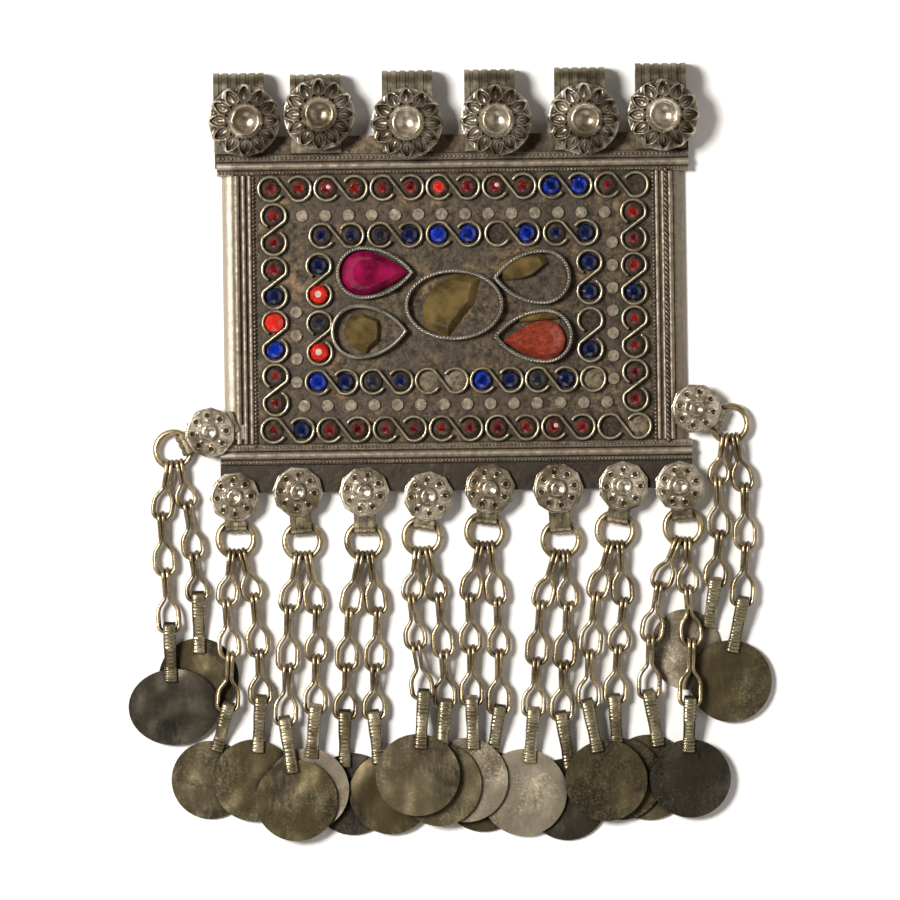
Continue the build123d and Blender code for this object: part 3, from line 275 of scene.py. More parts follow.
def plate_metal():
    """The plate: a dark oxidised field, dull studs, silver bezels and worn borders, with painted shade on
    its cell wires and in its crevices, a bottom band darkened partly as painted shade, and a painted sheen
    on its side flanges.
    """
    band_share = 0.85
    tones = PLATE_TONES
    n = Nodes("plate_silver")
    x = n.math("ABSOLUTE", n.math("SUBTRACT", n.axis("X"), PLATE_X + FIELD_SHIFT[0] * MM))
    y = n.math("ABSOLUTE", n.math("SUBTRACT", n.axis("Y"), PLATE_Y + FIELD_SHIFT[1] * MM))
    z = n.axis("Z")
    inside = n.math("MULTIPLY", n.math("LESS_THAN", x, FIELD_HALF_WIDTH * MM),
                    n.math("LESS_THAN", y, FIELD_HALF_HEIGHT * MM))
    over_face, wire, bezel = [n.ramp(z, (FACE + start) * MM, (FACE + end) * MM)
                              for start, end in (STUD_LEVELS, WIRE_LEVELS, BEZEL_LEVELS)]
    broad = n.noise(scale=60.0, detail=5.0)
    fine = n.noise(scale=750.0, detail=6.0, rough=0.75)
    patches = n.noise(scale=170.0, detail=5.0, rough=0.7)
    field = n.mix(n.ramp(fine, 0.35, 0.7), tones["field_dark"], tones["field_light"])
    field = n.mix(n.ramp(broad, 0.42, 0.62, high_to=0.8), field, tones["field_dull"])
    field = n.mix(n.ramp(patches, 0.54, 0.70, high_to=0.85), field, tones["field_warm"])
    grime = n.ramp(n.noise(scale=420.0, detail=7.0, rough=0.8), 0.5, 0.62, high_to=0.75)
    field = n.mix(grime, field, tones["grime"])
    stud = n.mix(n.ramp(fine, 0.3, 0.7), tones["stud"], tones["stud_dark"])
    # Painted shade: the plate's own cell wires are dark, so that their rims beside the separate wire tubes
    # read as shadow lines
    wire_shade = n.mix(n.ramp(fine, 0.35, 0.7), tones["wire_shade"], tones["wire_shade_dark"])
    bezel_silver = n.mix(n.ramp(fine, 0.35, 0.7), tones["bezel"], tones["bezel_dark"])
    colour = n.mix(over_face, field, stud)
    colour = n.mix(wire, colour, wire_shade)
    colour = n.mix(bezel, colour, bezel_silver)
    border = n.mix(n.ramp(broad, 0.4, 0.62), tones["border"], tones["border_dull"])
    border = n.mix(n.ramp(fine, 0.42, 0.68), border, tones["border_dark"])
    border = n.mix(n.ramp(patches, 0.55, 0.75, high_to=0.6), border, tones["border_warm"])
    rail = n.mix(n.ramp(fine, 0.3, 0.72), tones["rail"], tones["rail_dark"])
    # Below the bottom beads the border is painted much darker: partly the band's own dark tone, partly
    # painted shade to match the top band, which lies in the strap loops' shadow
    above_band = n.math("GREATER_THAN", n.axis("Y"), PLATE_Y + BAND_TOP * MM)
    in_band = n.math("SUBTRACT", band_share, n.math("MULTIPLY", above_band, band_share))
    border = n.mix(in_band, border, tones["band"])
    border = n.mix(n.math("MULTIPLY", over_face, above_band), border, rail)
    # Painted sheen: a pale band on the side flanges, strongest on the left where the key light falls
    flange_sheen = n.ramp(x, FLANGE_EDGE[0] * MM, FLANGE_EDGE[1] * MM)
    beside_field = n.math("LESS_THAN", y, FLANGE_HALF_HEIGHT * MM)
    lit_from_left = n.ramp(n.axis("X"), PLATE_X - FLANGE_FADE * MM, PLATE_X + FLANGE_FADE * MM,
                         low_to=1.0, high_to=0.45)
    flange_sheen = n.math("MULTIPLY", n.math("MULTIPLY", flange_sheen, beside_field), lit_from_left)
    border = n.mix(flange_sheen, border, tones["flange_sheen"])
    colour = n.mix(inside, border, colour)
    # Painted shade: crevices found by ambient occlusion are darkened
    ao_shade = n.ramp(n.crevice(0.001), 0.35, 0.9, low_to=0.75, high_to=0.0)
    colour = n.mix(ao_shade, colour, tones["ao_shade"])
    rough = n.ramp(fine, 0.3, 0.7, low_to=0.34, high_to=0.6)
    rough = n.math("ADD", rough, n.math("MULTIPLY", ao_shade, SHELTER_ROUGHNESS), clamp=True)
    grain = n.bump(fine, strength=0.45, reach=0.0003)
    dents = n.bump(n.noise(scale=150.0, detail=3.0, rough=0.55), strength=0.4, reach=0.0007, before=grain)
    return n.done(colour, rough, metallic=0.6, normal=dents)


# Each metal's third colour is the painted shade that darkens its crevices
silver = old_silver("rosette_silver", bright=(0.93, 0.835, 0.665), dull=(0.25, 0.195, 0.12),
                    crevice_shade=(0.018, 0.011, 0.005), shine=(0.14, 0.34), reach=0.0020, unshaded_at=1.0,
                    shade_from=0.62)
strap_metal = old_silver("strap_silver", bright=(0.30, 0.255, 0.17), dull=(0.12, 0.102, 0.064),
                         crevice_shade=(0.02, 0.016, 0.01), shine=(0.26, 0.45))
chain_metal = old_silver("chain_silver", bright=(0.55, 0.435, 0.262), dull=(0.20, 0.148, 0.078),
                         crevice_shade=(0.03, 0.02, 0.009), shine=(0.18, 0.38), reach=0.0011, crevice_shade_share=0.95)
bail_metal = old_silver("bail_silver", bright=(0.50, 0.425, 0.275), dull=(0.18, 0.146, 0.082),
                        crevice_shade=(0.022, 0.016, 0.009), shine=(0.2, 0.4), reach=0.0008)
bead_metal = old_silver("bead_silver", bright=(0.27, 0.225, 0.165), dull=(0.12, 0.095, 0.066),
                        crevice_shade=(0.035, 0.027, 0.018), shine=(0.34, 0.55), reach=0.0006)
bezel_wire = old_silver("bezel_wire", bright=(0.50, 0.46, 0.385), dull=(0.24, 0.215, 0.17),
                        crevice_shade=(0.03, 0.024, 0.017), shine=(0.22, 0.42), reach=0.0006)
cell_wire = old_silver("cell_wire", bright=(0.62, 0.545, 0.38), dull=(0.34, 0.285, 0.18),
                       crevice_shade=(0.04, 0.03, 0.018), shine=(0.22, 0.42), reach=0.0006)
plate_look = plate_metal()

# Each tone: light, middle and dark colour of a disc
PALE_LIT = ((0.72, 0.63, 0.49), (0.50, 0.42, 0.305), (0.17, 0.134, 0.085))
WARM = ((0.40, 0.33, 0.20), (0.205, 0.162, 0.088), (0.042, 0.033, 0.018))
OLIVE = ((0.285, 0.228, 0.118), (0.14, 0.108, 0.052), (0.028, 0.022, 0.011))
SMOKY_SHADED = ((0.155, 0.128, 0.085), (0.075, 0.062, 0.042), (0.018, 0.015, 0.011))
# Which disc gets which tone is partly its own patina and partly painted light: the pale discs carry painted
# sheen and the smoky ones painted shade, for how each disc's tilt catches the light
DISC_TONES = {
    "01a": OLIVE, "01b": SMOKY_SHADED, "02a": WARM, "02b": OLIVE, "03a": OLIVE, "03b": PALE_LIT, "04a": SMOKY_SHADED,
    "04b": OLIVE, "05a": WARM, "05b": WARM, "06a": PALE_LIT, "06b": OLIVE, "07a": PALE_LIT, "07b": SMOKY_SHADED,
    "08a": OLIVE, "08b": OLIVE, "09a": WARM, "09b": SMOKY_SHADED, "10a": PALE_LIT, "10b": OLIVE,
}
disc_looks = {mark: patina(f"disc_{mark}", *tone, seed=1.0 + k)
              for k, (mark, tone) in enumerate(DISC_TONES.items())}

red_glass = glass("red_glass", (0.30, 0.012, 0.008), depth=0.12, cloud=620.0)
bright_red = glass("bright_red_glass", (0.75, 0.02, 0.010), rough=0.05, clear=0.1, depth=0.55)
navy_glass = glass("navy_glass", (0.003, 0.008, 0.055), rough=0.05, clear=0.1, depth=0.2)
blue_glass = glass("blue_glass", (0.001, 0.022, 0.34), rough=0.04, clear=0.1, depth=0.1, cloud=520.0)
dark_glass = glass("dark_glass", (0.013, 0.015, 0.024), rough=0.12, clear=0.05)
pink_glass = glass("pink_glass", (0.36, 0.006, 0.075), rough=0.05, clear=0.15, depth=0.1, cloud=110.0,
                   swirl=0.2, edge=0.2)
foil_red = glass("foil_red", (0.52, 0.085, 0.045), rough=0.14, clear=0.0, metallic=0.5, depth=0.4,
                 cloud=900.0, edge=0.25)
amber_glass = glass("amber_glass", (0.24, 0.162, 0.055), rough=0.12, clear=0.3, depth=0.25, cloud=170.0,
                    swirl=0.2, edge=0.24)
# A pale colour for painted highlights on the stones
painted_glint = glass("painted_glint", (0.52, 0.42, 0.385), rough=0.35, clear=0.0, coat=0.1, depth=0.7)


def paste():
    """The dull filling round the stones."""
    n = Nodes("setting_paste")
    fine = n.noise(scale=1200.0, detail=5.0, rough=0.7)
    colour = n.mix(n.ramp(fine, 0.35, 0.7), (0.055, 0.038, 0.024), (0.010, 0.007, 0.005))
    rust = n.ramp(n.noise(scale=330.0, detail=3.0), low_at=0.58, high_at=0.74)
    colour = n.mix(rust, colour, (0.11, 0.07, 0.034))
    n.bsdf.inputs["Specular IOR Level"].default_value = 0.2
    return n.done(colour, rough=0.62, metallic=0.15, normal=n.bump(fine, strength=0.5, reach=0.0003))


def tan_paste():
    """The paler filling left in some of the empty seats."""
    n = Nodes("tan_paste")
    fine = n.noise(scale=1000.0, detail=5.0, rough=0.7)
    colour = n.mix(n.ramp(fine, 0.4, 0.62), (0.19, 0.145, 0.085), (0.06, 0.045, 0.027))
    return n.done(colour, rough=0.6, metallic=0.2, normal=n.bump(fine, strength=0.6, reach=0.0004))


setting_paste = paste()
empty_paste = tan_paste()


# ---- mesh helpers

class Mesh:
    """Collects faces, each with its material, and makes one object of them."""

    def __init__(self, name, materials):
        self.name = name
        self.materials = materials
        self.points = []
        self.faces = []
        self.kinds = []
        self.smooth = []

    def add(self, points, faces, material, smooth=True):
        start = len(self.points)
        self.points += points
        for face in faces:
            self.faces.append([start + i for i in face])
            self.kinds.append(self.materials.index(material))
            self.smooth.append(smooth)

    def build(self, replaces=None):
        mesh = bpy.data.meshes.new(self.name)
        mesh.from_pydata([tuple(p) for p in self.points], [], self.faces)
        for material in self.materials:
            mesh.materials.append(material)
        for face, kind, smooth in zip(mesh.polygons, self.kinds, self.smooth):
            face.material_index = kind
            face.use_smooth = smooth
        mesh.update()
        piece = bpy.data.objects.new(self.name, mesh)
        bpy.context.scene.collection.objects.link(piece)
        if replaces:
            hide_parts(replaces)
        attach(piece, "root")


BEAD_SIDES = 8
BEAD_RINGS = 3
BEAD_START = -0.35


def bead(mesh, centre, radius, material):
    """The upper part of a small ball. It starts a little below its middle."""
    points = []
    faces = []
    for r in range(BEAD_RINGS + 1):
        angle = BEAD_START + (pi / 2 - BEAD_START) * r / (BEAD_RINGS + 1)
        for s in range(BEAD_SIDES):
            turn = 2 * pi * s / BEAD_SIDES
            out = Vector((cos(angle) * cos(turn), cos(angle) * sin(turn), sin(angle)))
            points.append(centre + out * radius)
    points.append(centre + Vector((0, 0, radius)))
    for r in range(BEAD_RINGS):
        for s in range(BEAD_SIDES):
            t = (s + 1) % BEAD_SIDES
            row = r * BEAD_SIDES
            faces.append([row + s, row + t, row + BEAD_SIDES + t, row + BEAD_SIDES + s])
    for s in range(BEAD_SIDES):
        last = BEAD_RINGS * BEAD_SIDES
        faces.append([last + s, last + (s + 1) % BEAD_SIDES, len(points) - 1])
    mesh.add(points, faces, material)


def tube(mesh, line, radius, material, closed=False, sides=6):
    """A round wire along a line of points."""
    points = []
    faces = []
    count = len(line)
    for i, p in enumerate(line):
        before = line[(i - 1) % count] if closed or i else p
        after = line[(i + 1) % count] if closed or i < count - 1 else p
        along = (after - before).normalized()
        side = along.cross(Vector((0, 0, 1)))
        side = side.normalized() if side.length > 1e-6 else Vector((1, 0, 0))
        up = side.cross(along)
        for s in range(sides):
            turn = 2 * pi * s / sides
            points.append(p + (side * cos(turn) + up * sin(turn)) * radius)
    for i in range(count if closed else count - 1):
        j = (i + 1) % count
        for s in range(sides):
            t = (s + 1) % sides
            faces.append([i * sides + s, i * sides + t, j * sides + t, j * sides + s])
    if not closed:
        faces.append(list(range(sides))[::-1])
        faces.append([(count - 1) * sides + s for s in range(sides)])
    mesh.add(points, faces, material)


def even_steps(line, step, closed):
    """The same line with its points a step apart."""
    ends = list(line) + ([line[0]] if closed else [])
    lengths = [0.0]
    for a, b in zip(ends, ends[1:]):
        lengths.append(lengths[-1] + (b - a).length)
    count = max(2, round(lengths[-1] / step))
    result = []
    k = 0
    for i in range(count if closed else count + 1):
        want = lengths[-1] * i / count
        while k < len(lengths) - 2 and lengths[k + 1] < want:
            k += 1
        span = lengths[k + 1] - lengths[k]
        result.append(ends[k].lerp(ends[k + 1], (want - lengths[k]) / span if span else 0.0))
    return result


STEPS_PER_TWIST = 8
ROPE_SIDES = 5
STRAND_SHARE = 0.55


def rope(mesh, line, radius, pitch, material, closed=False):
    """Two wires twisted round each other along a line."""
    steps = even_steps(line, pitch / STEPS_PER_TWIST, closed)
    count = len(steps)
    turns = round(count / STEPS_PER_TWIST)
    for strand in (0, pi):
        wire = []
        for i, p in enumerate(steps):
            before = steps[i - 1] if i or closed else p
            after = steps[(i + 1) % count] if i < count - 1 or closed else p
            side = (after - before).normalized().cross(Vector((0, 0, 1))).normalized()
            turn = strand + 2 * pi * turns * i / count
            wire.append(p + side * cos(turn) * radius / 2 + Vector((0, 0, sin(turn) * radius / 2)))
        tube(mesh, wire, radius * STRAND_SHARE, material, closed, ROPE_SIDES)


SMALLEST_BEAD = 0.9
BEAD_UNEVEN = 0.2


def bead_row(mesh, start, end, pitch, radius, material):
    """Beads in a line, each a little larger or smaller than the next."""
    count = max(2, round((end - start).length / pitch))
    for i in range(count + 1):
        p = start.lerp(end, i / count)
        size = radius * (SMALLEST_BEAD + BEAD_UNEVEN * wobble(p.x * 900, p.y * 900))
        bead(mesh, p, size, material)


def polar_skin(mesh, origin, turn, rim, rings, sides, height, material):
    """A round relief over its base plane, closed underneath. Its height depends on reach and angle."""
    points = [origin + turn @ Vector((0, 0, height(0.0, 0.0))) * MM]
    faces = []
    for k in range(1, rings + 1):
        for s in range(sides):
            a = 2 * pi * s / sides
            reach = rim(a) * k / rings
            points.append(origin + turn @ Vector((reach * cos(a), reach * sin(a), height(reach, a))) * MM)
    for s in range(sides):
        a = 2 * pi * s / sides
        points.append(origin + turn @ Vector((rim(a) * cos(a), rim(a) * sin(a), 0)) * MM)
    for s in range(sides):
        t = (s + 1) % sides
        faces.append([0, 1 + s, 1 + t])
        for k in range(rings):
            inner = 1 + k * sides
            outer = inner + sides
            faces.append([inner + s, outer + s, outer + t, inner + t])
    faces.append([1 + rings * sides + s for s in range(sides)][::-1])
    mesh.add(points, faces, material)


def ridge(value, width):
    """A smooth bump: one at zero, and nearly nothing two widths away."""
    return exp(-(value / width) ** 2)


def trimmed(mesh, node, inside, material):
    """Adds a CAD node's faces to a piece, without those that the test says a new shape stands for."""
    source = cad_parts[node].data
    used = {}
    points = []
    faces = []
    for face in source.polygons:
        if inside(face.center):
            continue
        corners = []
        for i in face.vertices:
            if i not in used:
                used[i] = len(points)
                points.append(source.vertices[i].co.copy())
            corners.append(used[i])
        faces.append(corners)
    mesh.add(points, faces, material, False)


# ---- borders of the plate

BEAD_LEVEL = FACE + 0.45
ROW_REACH = 52.4
# Rows of beads along the top and the bottom: distance up from the centre, pitch and radius
BEAD_ROWS = (
    (PLATE_HEIGHT / 2 - 4.9, 0.93, 0.42),
    (PLATE_HEIGHT / 2 - 8.2, 0.8, 0.36),
    (-PLATE_HEIGHT / 2 + 6.75, 0.78, 0.37),
    (-PLATE_HEIGHT / 2 + 10.1, 0.8, 0.34),
)
COLUMN_X = 44.9
COLUMN_TOP = 31.6
COLUMN_BOTTOM = -29.4
COLUMN_PITCH = 0.9
COLUMN_BEAD = 0.38
CORD_X = 47.75
CORD_TURNS = (31.9, 10.0, -10.0, -29.6)
CORD_LEVEL = FACE + 0.75
CORD_RADIUS = 0.55
CORD_PITCH = 2.2

borders = Mesh("plate_beads", [bead_metal])
for y, pitch, radius in BEAD_ROWS:
    bead_row(borders, place(-ROW_REACH, y, BEAD_LEVEL), place(ROW_REACH, y, BEAD_LEVEL),
             pitch * MM, radius * MM, bead_metal)
cord_line = [place(CORD_X, y, CORD_LEVEL) for y in CORD_TURNS]
rope(borders, cord_line, CORD_RADIUS * MM, CORD_PITCH * MM, bead_metal)
for x in (-COLUMN_X, COLUMN_X):
    bead_row(borders, place(x, COLUMN_TOP, BEAD_LEVEL), place(x, COLUMN_BOTTOM, BEAD_LEVEL),
             COLUMN_PITCH * MM, COLUMN_BEAD * MM, bead_metal)
borders.build()

# ---- round stones, by row: what each seat holds

OUTER_TOP = "red red glint red red red bright red glint red blue blue small empty".split()
OUTER_BOTTOM = "dull navy red red dull small dark dark red red glint red empty tan".split()
OUTER_LEFT = "red dull red navy dome blue dull dull".split()
OUTER_RIGHT = "red dull red navy dark dark dark red".split()
INNER_TOP = "darknavy darknavy grey navy blue blue empty blue darknavy navy".split()
INNER_BOTTOM = "blue navy grey darknavy tan tan blue navy grey navy tan".split()
INNER_LEFT = "navy coral grey coral".split()
INNER_RIGHT = "navy navy empty navy".split()
MIDDLE_Y = 1.1
OUTER_WIDTH = 82.0
OUTER_HALF_HEIGHT = 27.1
OUTER_COLUMN_X = 40.4
OUTER_COLUMN_SPAN = 42.0
INNER_TOP_Y = 17.6
INNER_TOP_WIDTH = 59.2
INNER_BOTTOM_Y = -15.3
INNER_BOTTOM_WIDTH = 61.8
INNER_COLUMN_X = 30.4
INNER_COLUMN_SPAN = 19.5


def row(kinds, y, width):
    return kinds, [(x, y) for x in spread(len(kinds), width)]


def column(kinds, x, span):
    return kinds, [(x, MIDDLE_Y - y) for y in spread(len(kinds), span)]


SEATS = {
    "outer": [
        row(OUTER_TOP, MIDDLE_Y + OUTER_HALF_HEIGHT, OUTER_WIDTH),
        row(OUTER_BOTTOM, MIDDLE_Y - OUTER_HALF_HEIGHT, OUTER_WIDTH),
        column(OUTER_LEFT, -OUTER_COLUMN_X, OUTER_COLUMN_SPAN),
        column(OUTER_RIGHT, OUTER_COLUMN_X, OUTER_COLUMN_SPAN),
    ],
    "inner": [
        row(INNER_TOP, INNER_TOP_Y, INNER_TOP_WIDTH),
        row(INNER_BOTTOM, INNER_BOTTOM_Y, INNER_BOTTOM_WIDTH),
        column(INNER_LEFT, -INNER_COLUMN_X, INNER_COLUMN_SPAN),
        column(INNER_RIGHT, INNER_COLUMN_X, INNER_COLUMN_SPAN),
    ],
}
# Each kind: glass, reach of the glass, height of its top over the face, and its table's share
KINDS = {
    "red": (red_glass, 1.6, 1.15, 0.45),
    "glint": (red_glass, 1.65, 1.2, 0.5),
    "bright": (bright_red, 1.5, 1.2, 0.45),
    "small": (red_glass, 1.15, 1.0, 0.5),
    "dull": (red_glass, 1.35, 1.0, 0.45),
    "dark": (red_glass, 1.4, 0.95, 0.45),
    "navy": (navy_glass, 2.0, 1.3, 0.45),
    "darknavy": (navy_glass, 1.6, 1.1, 0.45),
    "blue": (blue_glass, 2.1, 1.35, 0.5),
    "grey": (dark_glass, 1.8, 1.2, 0.45),
    "coral": (bright_red, 2.2, 1.95, 0.6),
    "dome": (bright_red, 2.35, 1.95, 0.35),
}


GIRDLE_SHARE = 0.28
FACET_SHARE = 0.66
FACET_REACH = 0.86
CUT_SIDES = 8


def cut_stone(mesh, centre, reach, base, top, share, material, turn):
    """A cut stone with an upright girdle, a row of kite-like facets, and a table."""
    levels = (
        (1.0, base),
        (1.0, base + (top - base) * GIRDLE_SHARE),
        (FACET_REACH, base + (top - base) * FACET_SHARE),
        (share, top),
    )
    sides = CUT_SIDES
    points = []
    faces = []
    for k, (size, z) in enumerate(levels):
        offset = turn + (pi / sides if k == 2 else 0.0)
        for s in range(sides):
            a = offset + 2 * pi * s / sides
            points.append(centre + Vector((cos(a) * reach * size, sin(a) * reach * size, z)) * MM)
    for s in range(sides):
        t = (s + 1) % sides
        faces.append([s, t, sides + t, sides + s])
        faces.append([sides + s, sides + t, 2 * sides + s])
        faces.append([sides + t, 2 * sides + t, 2 * sides + s])
        faces.append([2 * sides + s, 3 * sides + t, 3 * sides + s])
        faces.append([2 * sides + s, 2 * sides + t, 3 * sides + t])
    faces.append([3 * sides + s for s in range(sides)])
    mesh.add(points, faces, material, False)


PASTE_SIDES = 14
PASTE_UNEVEN = 0.10
PASTE_LUMPS = 0.16


def filling(mesh, centre, inner, high_z, material, seed):
    """An uneven collar of paste between a cell's wire and its stone."""
    reach = CELL_RADIUS - 0.3
    low_z = FACE + 0.05
    rings = (
        (reach, low_z),
        ((reach + inner) / 2, (low_z + high_z) / 2 + 0.1),
        (inner, high_z),
        (inner / 2, high_z - 0.1),
    )
    sides = PASTE_SIDES
    points = []
    faces = []
    for k, (size, z) in enumerate(rings):
        for s in range(sides):
            a = 2 * pi * s / sides
            rough = 1.0 + PASTE_UNEVEN * (wobble(seed, s, k) - 0.5)
            lump = PASTE_LUMPS * (wobble(seed, s, k + 5) - 0.5)
            points.append(centre + Vector((cos(a) * size * rough, sin(a) * size * rough, z + lump)) * MM)
    points.append(centre + Vector((0, 0, high_z - 0.15)) * MM)
    for k in range(len(rings) - 1):
        for s in range(sides):
            t = (s + 1) % sides
            faces.append([k * sides + s, k * sides + t, (k + 1) * sides + t, (k + 1) * sides + s])
    last = (len(rings) - 1) * sides
    for s in range(sides):
        faces.append([last + s, last + (s + 1) % sides, len(points) - 1])
    mesh.add(points, faces, material)


# Stones that reach less than this have a collar of paste round them
COLLAR_BELOW = 2.0
COLLAR_TOP = FACE + 0.75
COLLAR_SHARE = 0.96
EMPTY_REACH = 1.1
TAN_TOP = FACE + 0.35
EMPTY_TOP = FACE + 0.12
STONE_BASE = FACE + 0.14
# Painted highlights on top of a stone, as pale spots: offset, reach, height and table share
CORAL_SPOT = ((-0.2, 0.1), 0.85, 0.05, 0.9)
GLINT_SPOT = ((0.4, 0.3), 0.55, 0.12, 0.5)
SPOT_DEPTH = 0.1
SPOT_TURN = 0.4

for group, rows in SEATS.items():
    stones = Mesh(f"{group}_stones_cut", [red_glass, bright_red, navy_glass, blue_glass, dark_glass,
                                          setting_paste, empty_paste, painted_glint])
    for kinds, centres in rows:
        for kind, (x, y) in zip(kinds, centres):
            seed = x * 3.1 + y * 1.7
            centre = place(x, y, 0)
            if kind == "tan":
                filling(stones, centre, EMPTY_REACH, TAN_TOP, empty_paste, seed)
                continue
            if kind == "empty":
                filling(stones, centre, EMPTY_REACH, EMPTY_TOP, setting_paste, seed)
                continue
            material, reach, top, share = KINDS[kind]
            if reach < COLLAR_BELOW:
                filling(stones, centre, reach * COLLAR_SHARE, COLLAR_TOP, setting_paste, seed)
            cut_stone(stones, centre, reach, STONE_BASE, FACE + top, share, material, 6 * wobble(seed, 1.0))
            # Coral and glint stones get a pale spot on top: a painted highlight
            if kind in ("coral", "glint"):
                (aside, up), size, rise, table = CORAL_SPOT if kind == "coral" else GLINT_SPOT
                spot = centre + Vector((aside, up, 0)) * MM
                foot = FACE + top - SPOT_DEPTH
                cut_stone(stones, spot, size, foot, FACE + top + rise, table, painted_glint, SPOT_TURN)
    stones.build(f"{group}_stones")

# ---- the bent wires of the cells, round on top

WIRE_START = radians(30.0)
WIRE_RADIUS = 0.25
WIRE_LEVEL = FACE + 1.14
ARC_STEPS = 30
RING_STEPS = 40


def s_wire(pitch):
    """The middle line of one bent wire that makes two neighbouring cells."""
    cross = atan2(2 * CELL_RADIUS, sqrt(pitch**2 - 4 * CELL_RADIUS**2))
    sweep = 1.5 * pi + pi / 2 - cross - WIRE_START
    right = [pi - WIRE_START - sweep * i / ARC_STEPS for i in range(ARC_STEPS + 1)]
    left = [-WIRE_START - sweep * i / ARC_STEPS for i in range(ARC_STEPS + 1)]
    line = [(pitch / 2 + CELL_RADIUS * cos(a), CELL_RADIUS * sin(a)) for a in right]
    return line + [(-pitch / 2 + CELL_RADIUS * cos(a), CELL_RADIUS * sin(a)) for a in left[::-1]]


wires = Mesh("cell_wires", [cell_wire])
for rows in SEATS.values():
    for kinds, centres in rows:
        upright = centres[0][0] == centres[1][0]
        pitch = hypot(centres[1][0] - centres[0][0], centres[1][1] - centres[0][1])
        for first, second in zip(centres[0::2], centres[1::2]):
            middle = ((first[0] + second[0]) / 2, (first[1] + second[1]) / 2)
            flat = [(-y, x) if upright else (x, y) for x, y in s_wire(pitch)]
            line = [place(middle[0] + x, middle[1] + y, WIRE_LEVEL) for x, y in flat]
            tube(wires, line, WIRE_RADIUS * MM, cell_wire)
        if len(centres) % 2:
            x, y = centres[-1]
            turns = [2 * pi * i / RING_STEPS for i in range(RING_STEPS)]
            ring = [place(x + CELL_RADIUS * cos(a), y + CELL_RADIUS * sin(a), WIRE_LEVEL) for a in turns]
            tube(wires, ring, WIRE_RADIUS * MM, cell_wire, True)
wires.build()

# ---- rosettes on the strap loops: a polygonal rim, pointed petals, and a raised ring with a dish

ROSETTE_RADIUS = 8.2
PETALS = 12
ROSETTE_BASE = 6.7
# Each rosette: its centre and its lean in degrees about X and Y
ROSETTES = [
    (-46.6, 43.5, (4.0, 5.0)), (-29.8, 44.6, (0.0, 2.0)), (-10.1, 42.4, (0.0, -1.5)),
    (9.9, 42.8, (1.0, 1.0)), (29.5, 42.9, (5.0, 4.0)), (47.3, 43.6, (3.0, 1.0)),
]


def off_petal(angle, count):
    """The angle from the middle of the nearest petal."""
    step = 2 * pi / count
    return (angle + step / 2) % step - step / 2


def polygon_rim(radius, count, shift=0.0):
    """How far a regular polygon's edge reaches at an angle."""
    apothem = radius * cos(pi / count)
    return lambda angle: apothem / cos(off_petal(angle + shift + pi / count, count))


# Heights over the rosette's base plane and reaches from its middle
DISH_RADIUS = 2.6
DISH_FLOOR = 2.85
DISH_DEPTH = 1.2
DISH_CURVE = 2.4
COLLAR_RADIUS = 4.2
COLLAR_HEIGHT = 4.05
COLLAR_FOOT = 3.1
COLLAR_SLOPE = 0.95
SLOPE_START = 3.1
LIP_RADIUS = 2.95
LIP_RISE = 0.3
LIP_WIDTH = 0.3
CONE_START = 4.0
CONE_WIDTH = 4.2
CONE_RISE = 2.35
RIM_HEIGHT = 0.7
LOWEST = 0.35
PETAL_START = 4.1
PETAL_TIP = 7.8
PETAL_UNEVEN = 0.3
PETAL_HALF_WIDTH = 1.5
PETAL_ROUNDING = 0.7
PETAL_LEAN = 0.8
PETAL_RIDGE = 1.05
PETAL_RIDGE_WIDTH = 0.36
PETAL_HOLLOW = -0.3
GROUND_HOLLOW = -0.65
# Where a ridge or a hollow has faded out, and over what length it fades
PETAL_FADE = (8.1, 0.5)
GROUND_FADE = (7.9, 1.2)
SEED_RISE = 0.4
SEED_HALF_WIDTH = 0.34
SEED_AT = 5.7
SEED_LENGTH = 0.75


def rosette_relief(seed):
    """Dish, raised collar, and a cone with pointed petals, each a ridge round a hollow with a seed."""

    def middle(reach):
        if reach < DISH_RADIUS:
            return DISH_FLOOR + DISH_DEPTH * (reach / DISH_RADIUS) ** DISH_CURVE
        lip = COLLAR_HEIGHT + LIP_RISE * ridge(reach - LIP_RADIUS, LIP_WIDTH)
        return max(lip - COLLAR_SLOPE * max(0.0, reach - SLOPE_START), COLLAR_FOOT)

    def height(reach, angle):
        if reach < COLLAR_RADIUS:
            return middle(reach)
        cone = RIM_HEIGHT + CONE_RISE * max(0.0, 1 - (reach - CONE_START) / CONE_WIDTH)
        number = round(angle / (2 * pi / PETALS)) % PETALS
        tip = PETAL_TIP + PETAL_UNEVEN * (wobble(seed, number) - 0.5)
        share = min(max((reach - PETAL_START) / (tip - PETAL_START), 0.0), 1.0)
        half = PETAL_HALF_WIDTH * sin(pi * share**PETAL_LEAN) ** PETAL_ROUNDING if share < 1 else 0.0
        across = abs(off_petal(angle, PETALS)) * reach
        fade = min(1.0, (PETAL_FADE[0] - reach) / PETAL_FADE[1])
        edge = PETAL_RIDGE * ridge(across - half, PETAL_RIDGE_WIDTH) * fade
        ground = GROUND_HOLLOW * min(1.0, max(0.0, (GROUND_FADE[0] - reach) / GROUND_FADE[1]))
        hollow = PETAL_HOLLOW if across < half else ground
        bump = SEED_RISE * ridge(across, SEED_HALF_WIDTH) * ridge(reach - SEED_AT, SEED_LENGTH)
        return max(cone + edge + hollow + bump, LOWEST)

    return height


ROSETTE_GRID = (44, 216)
EDGE_PLAY = 0.03
BASE_PLAY = 0.02

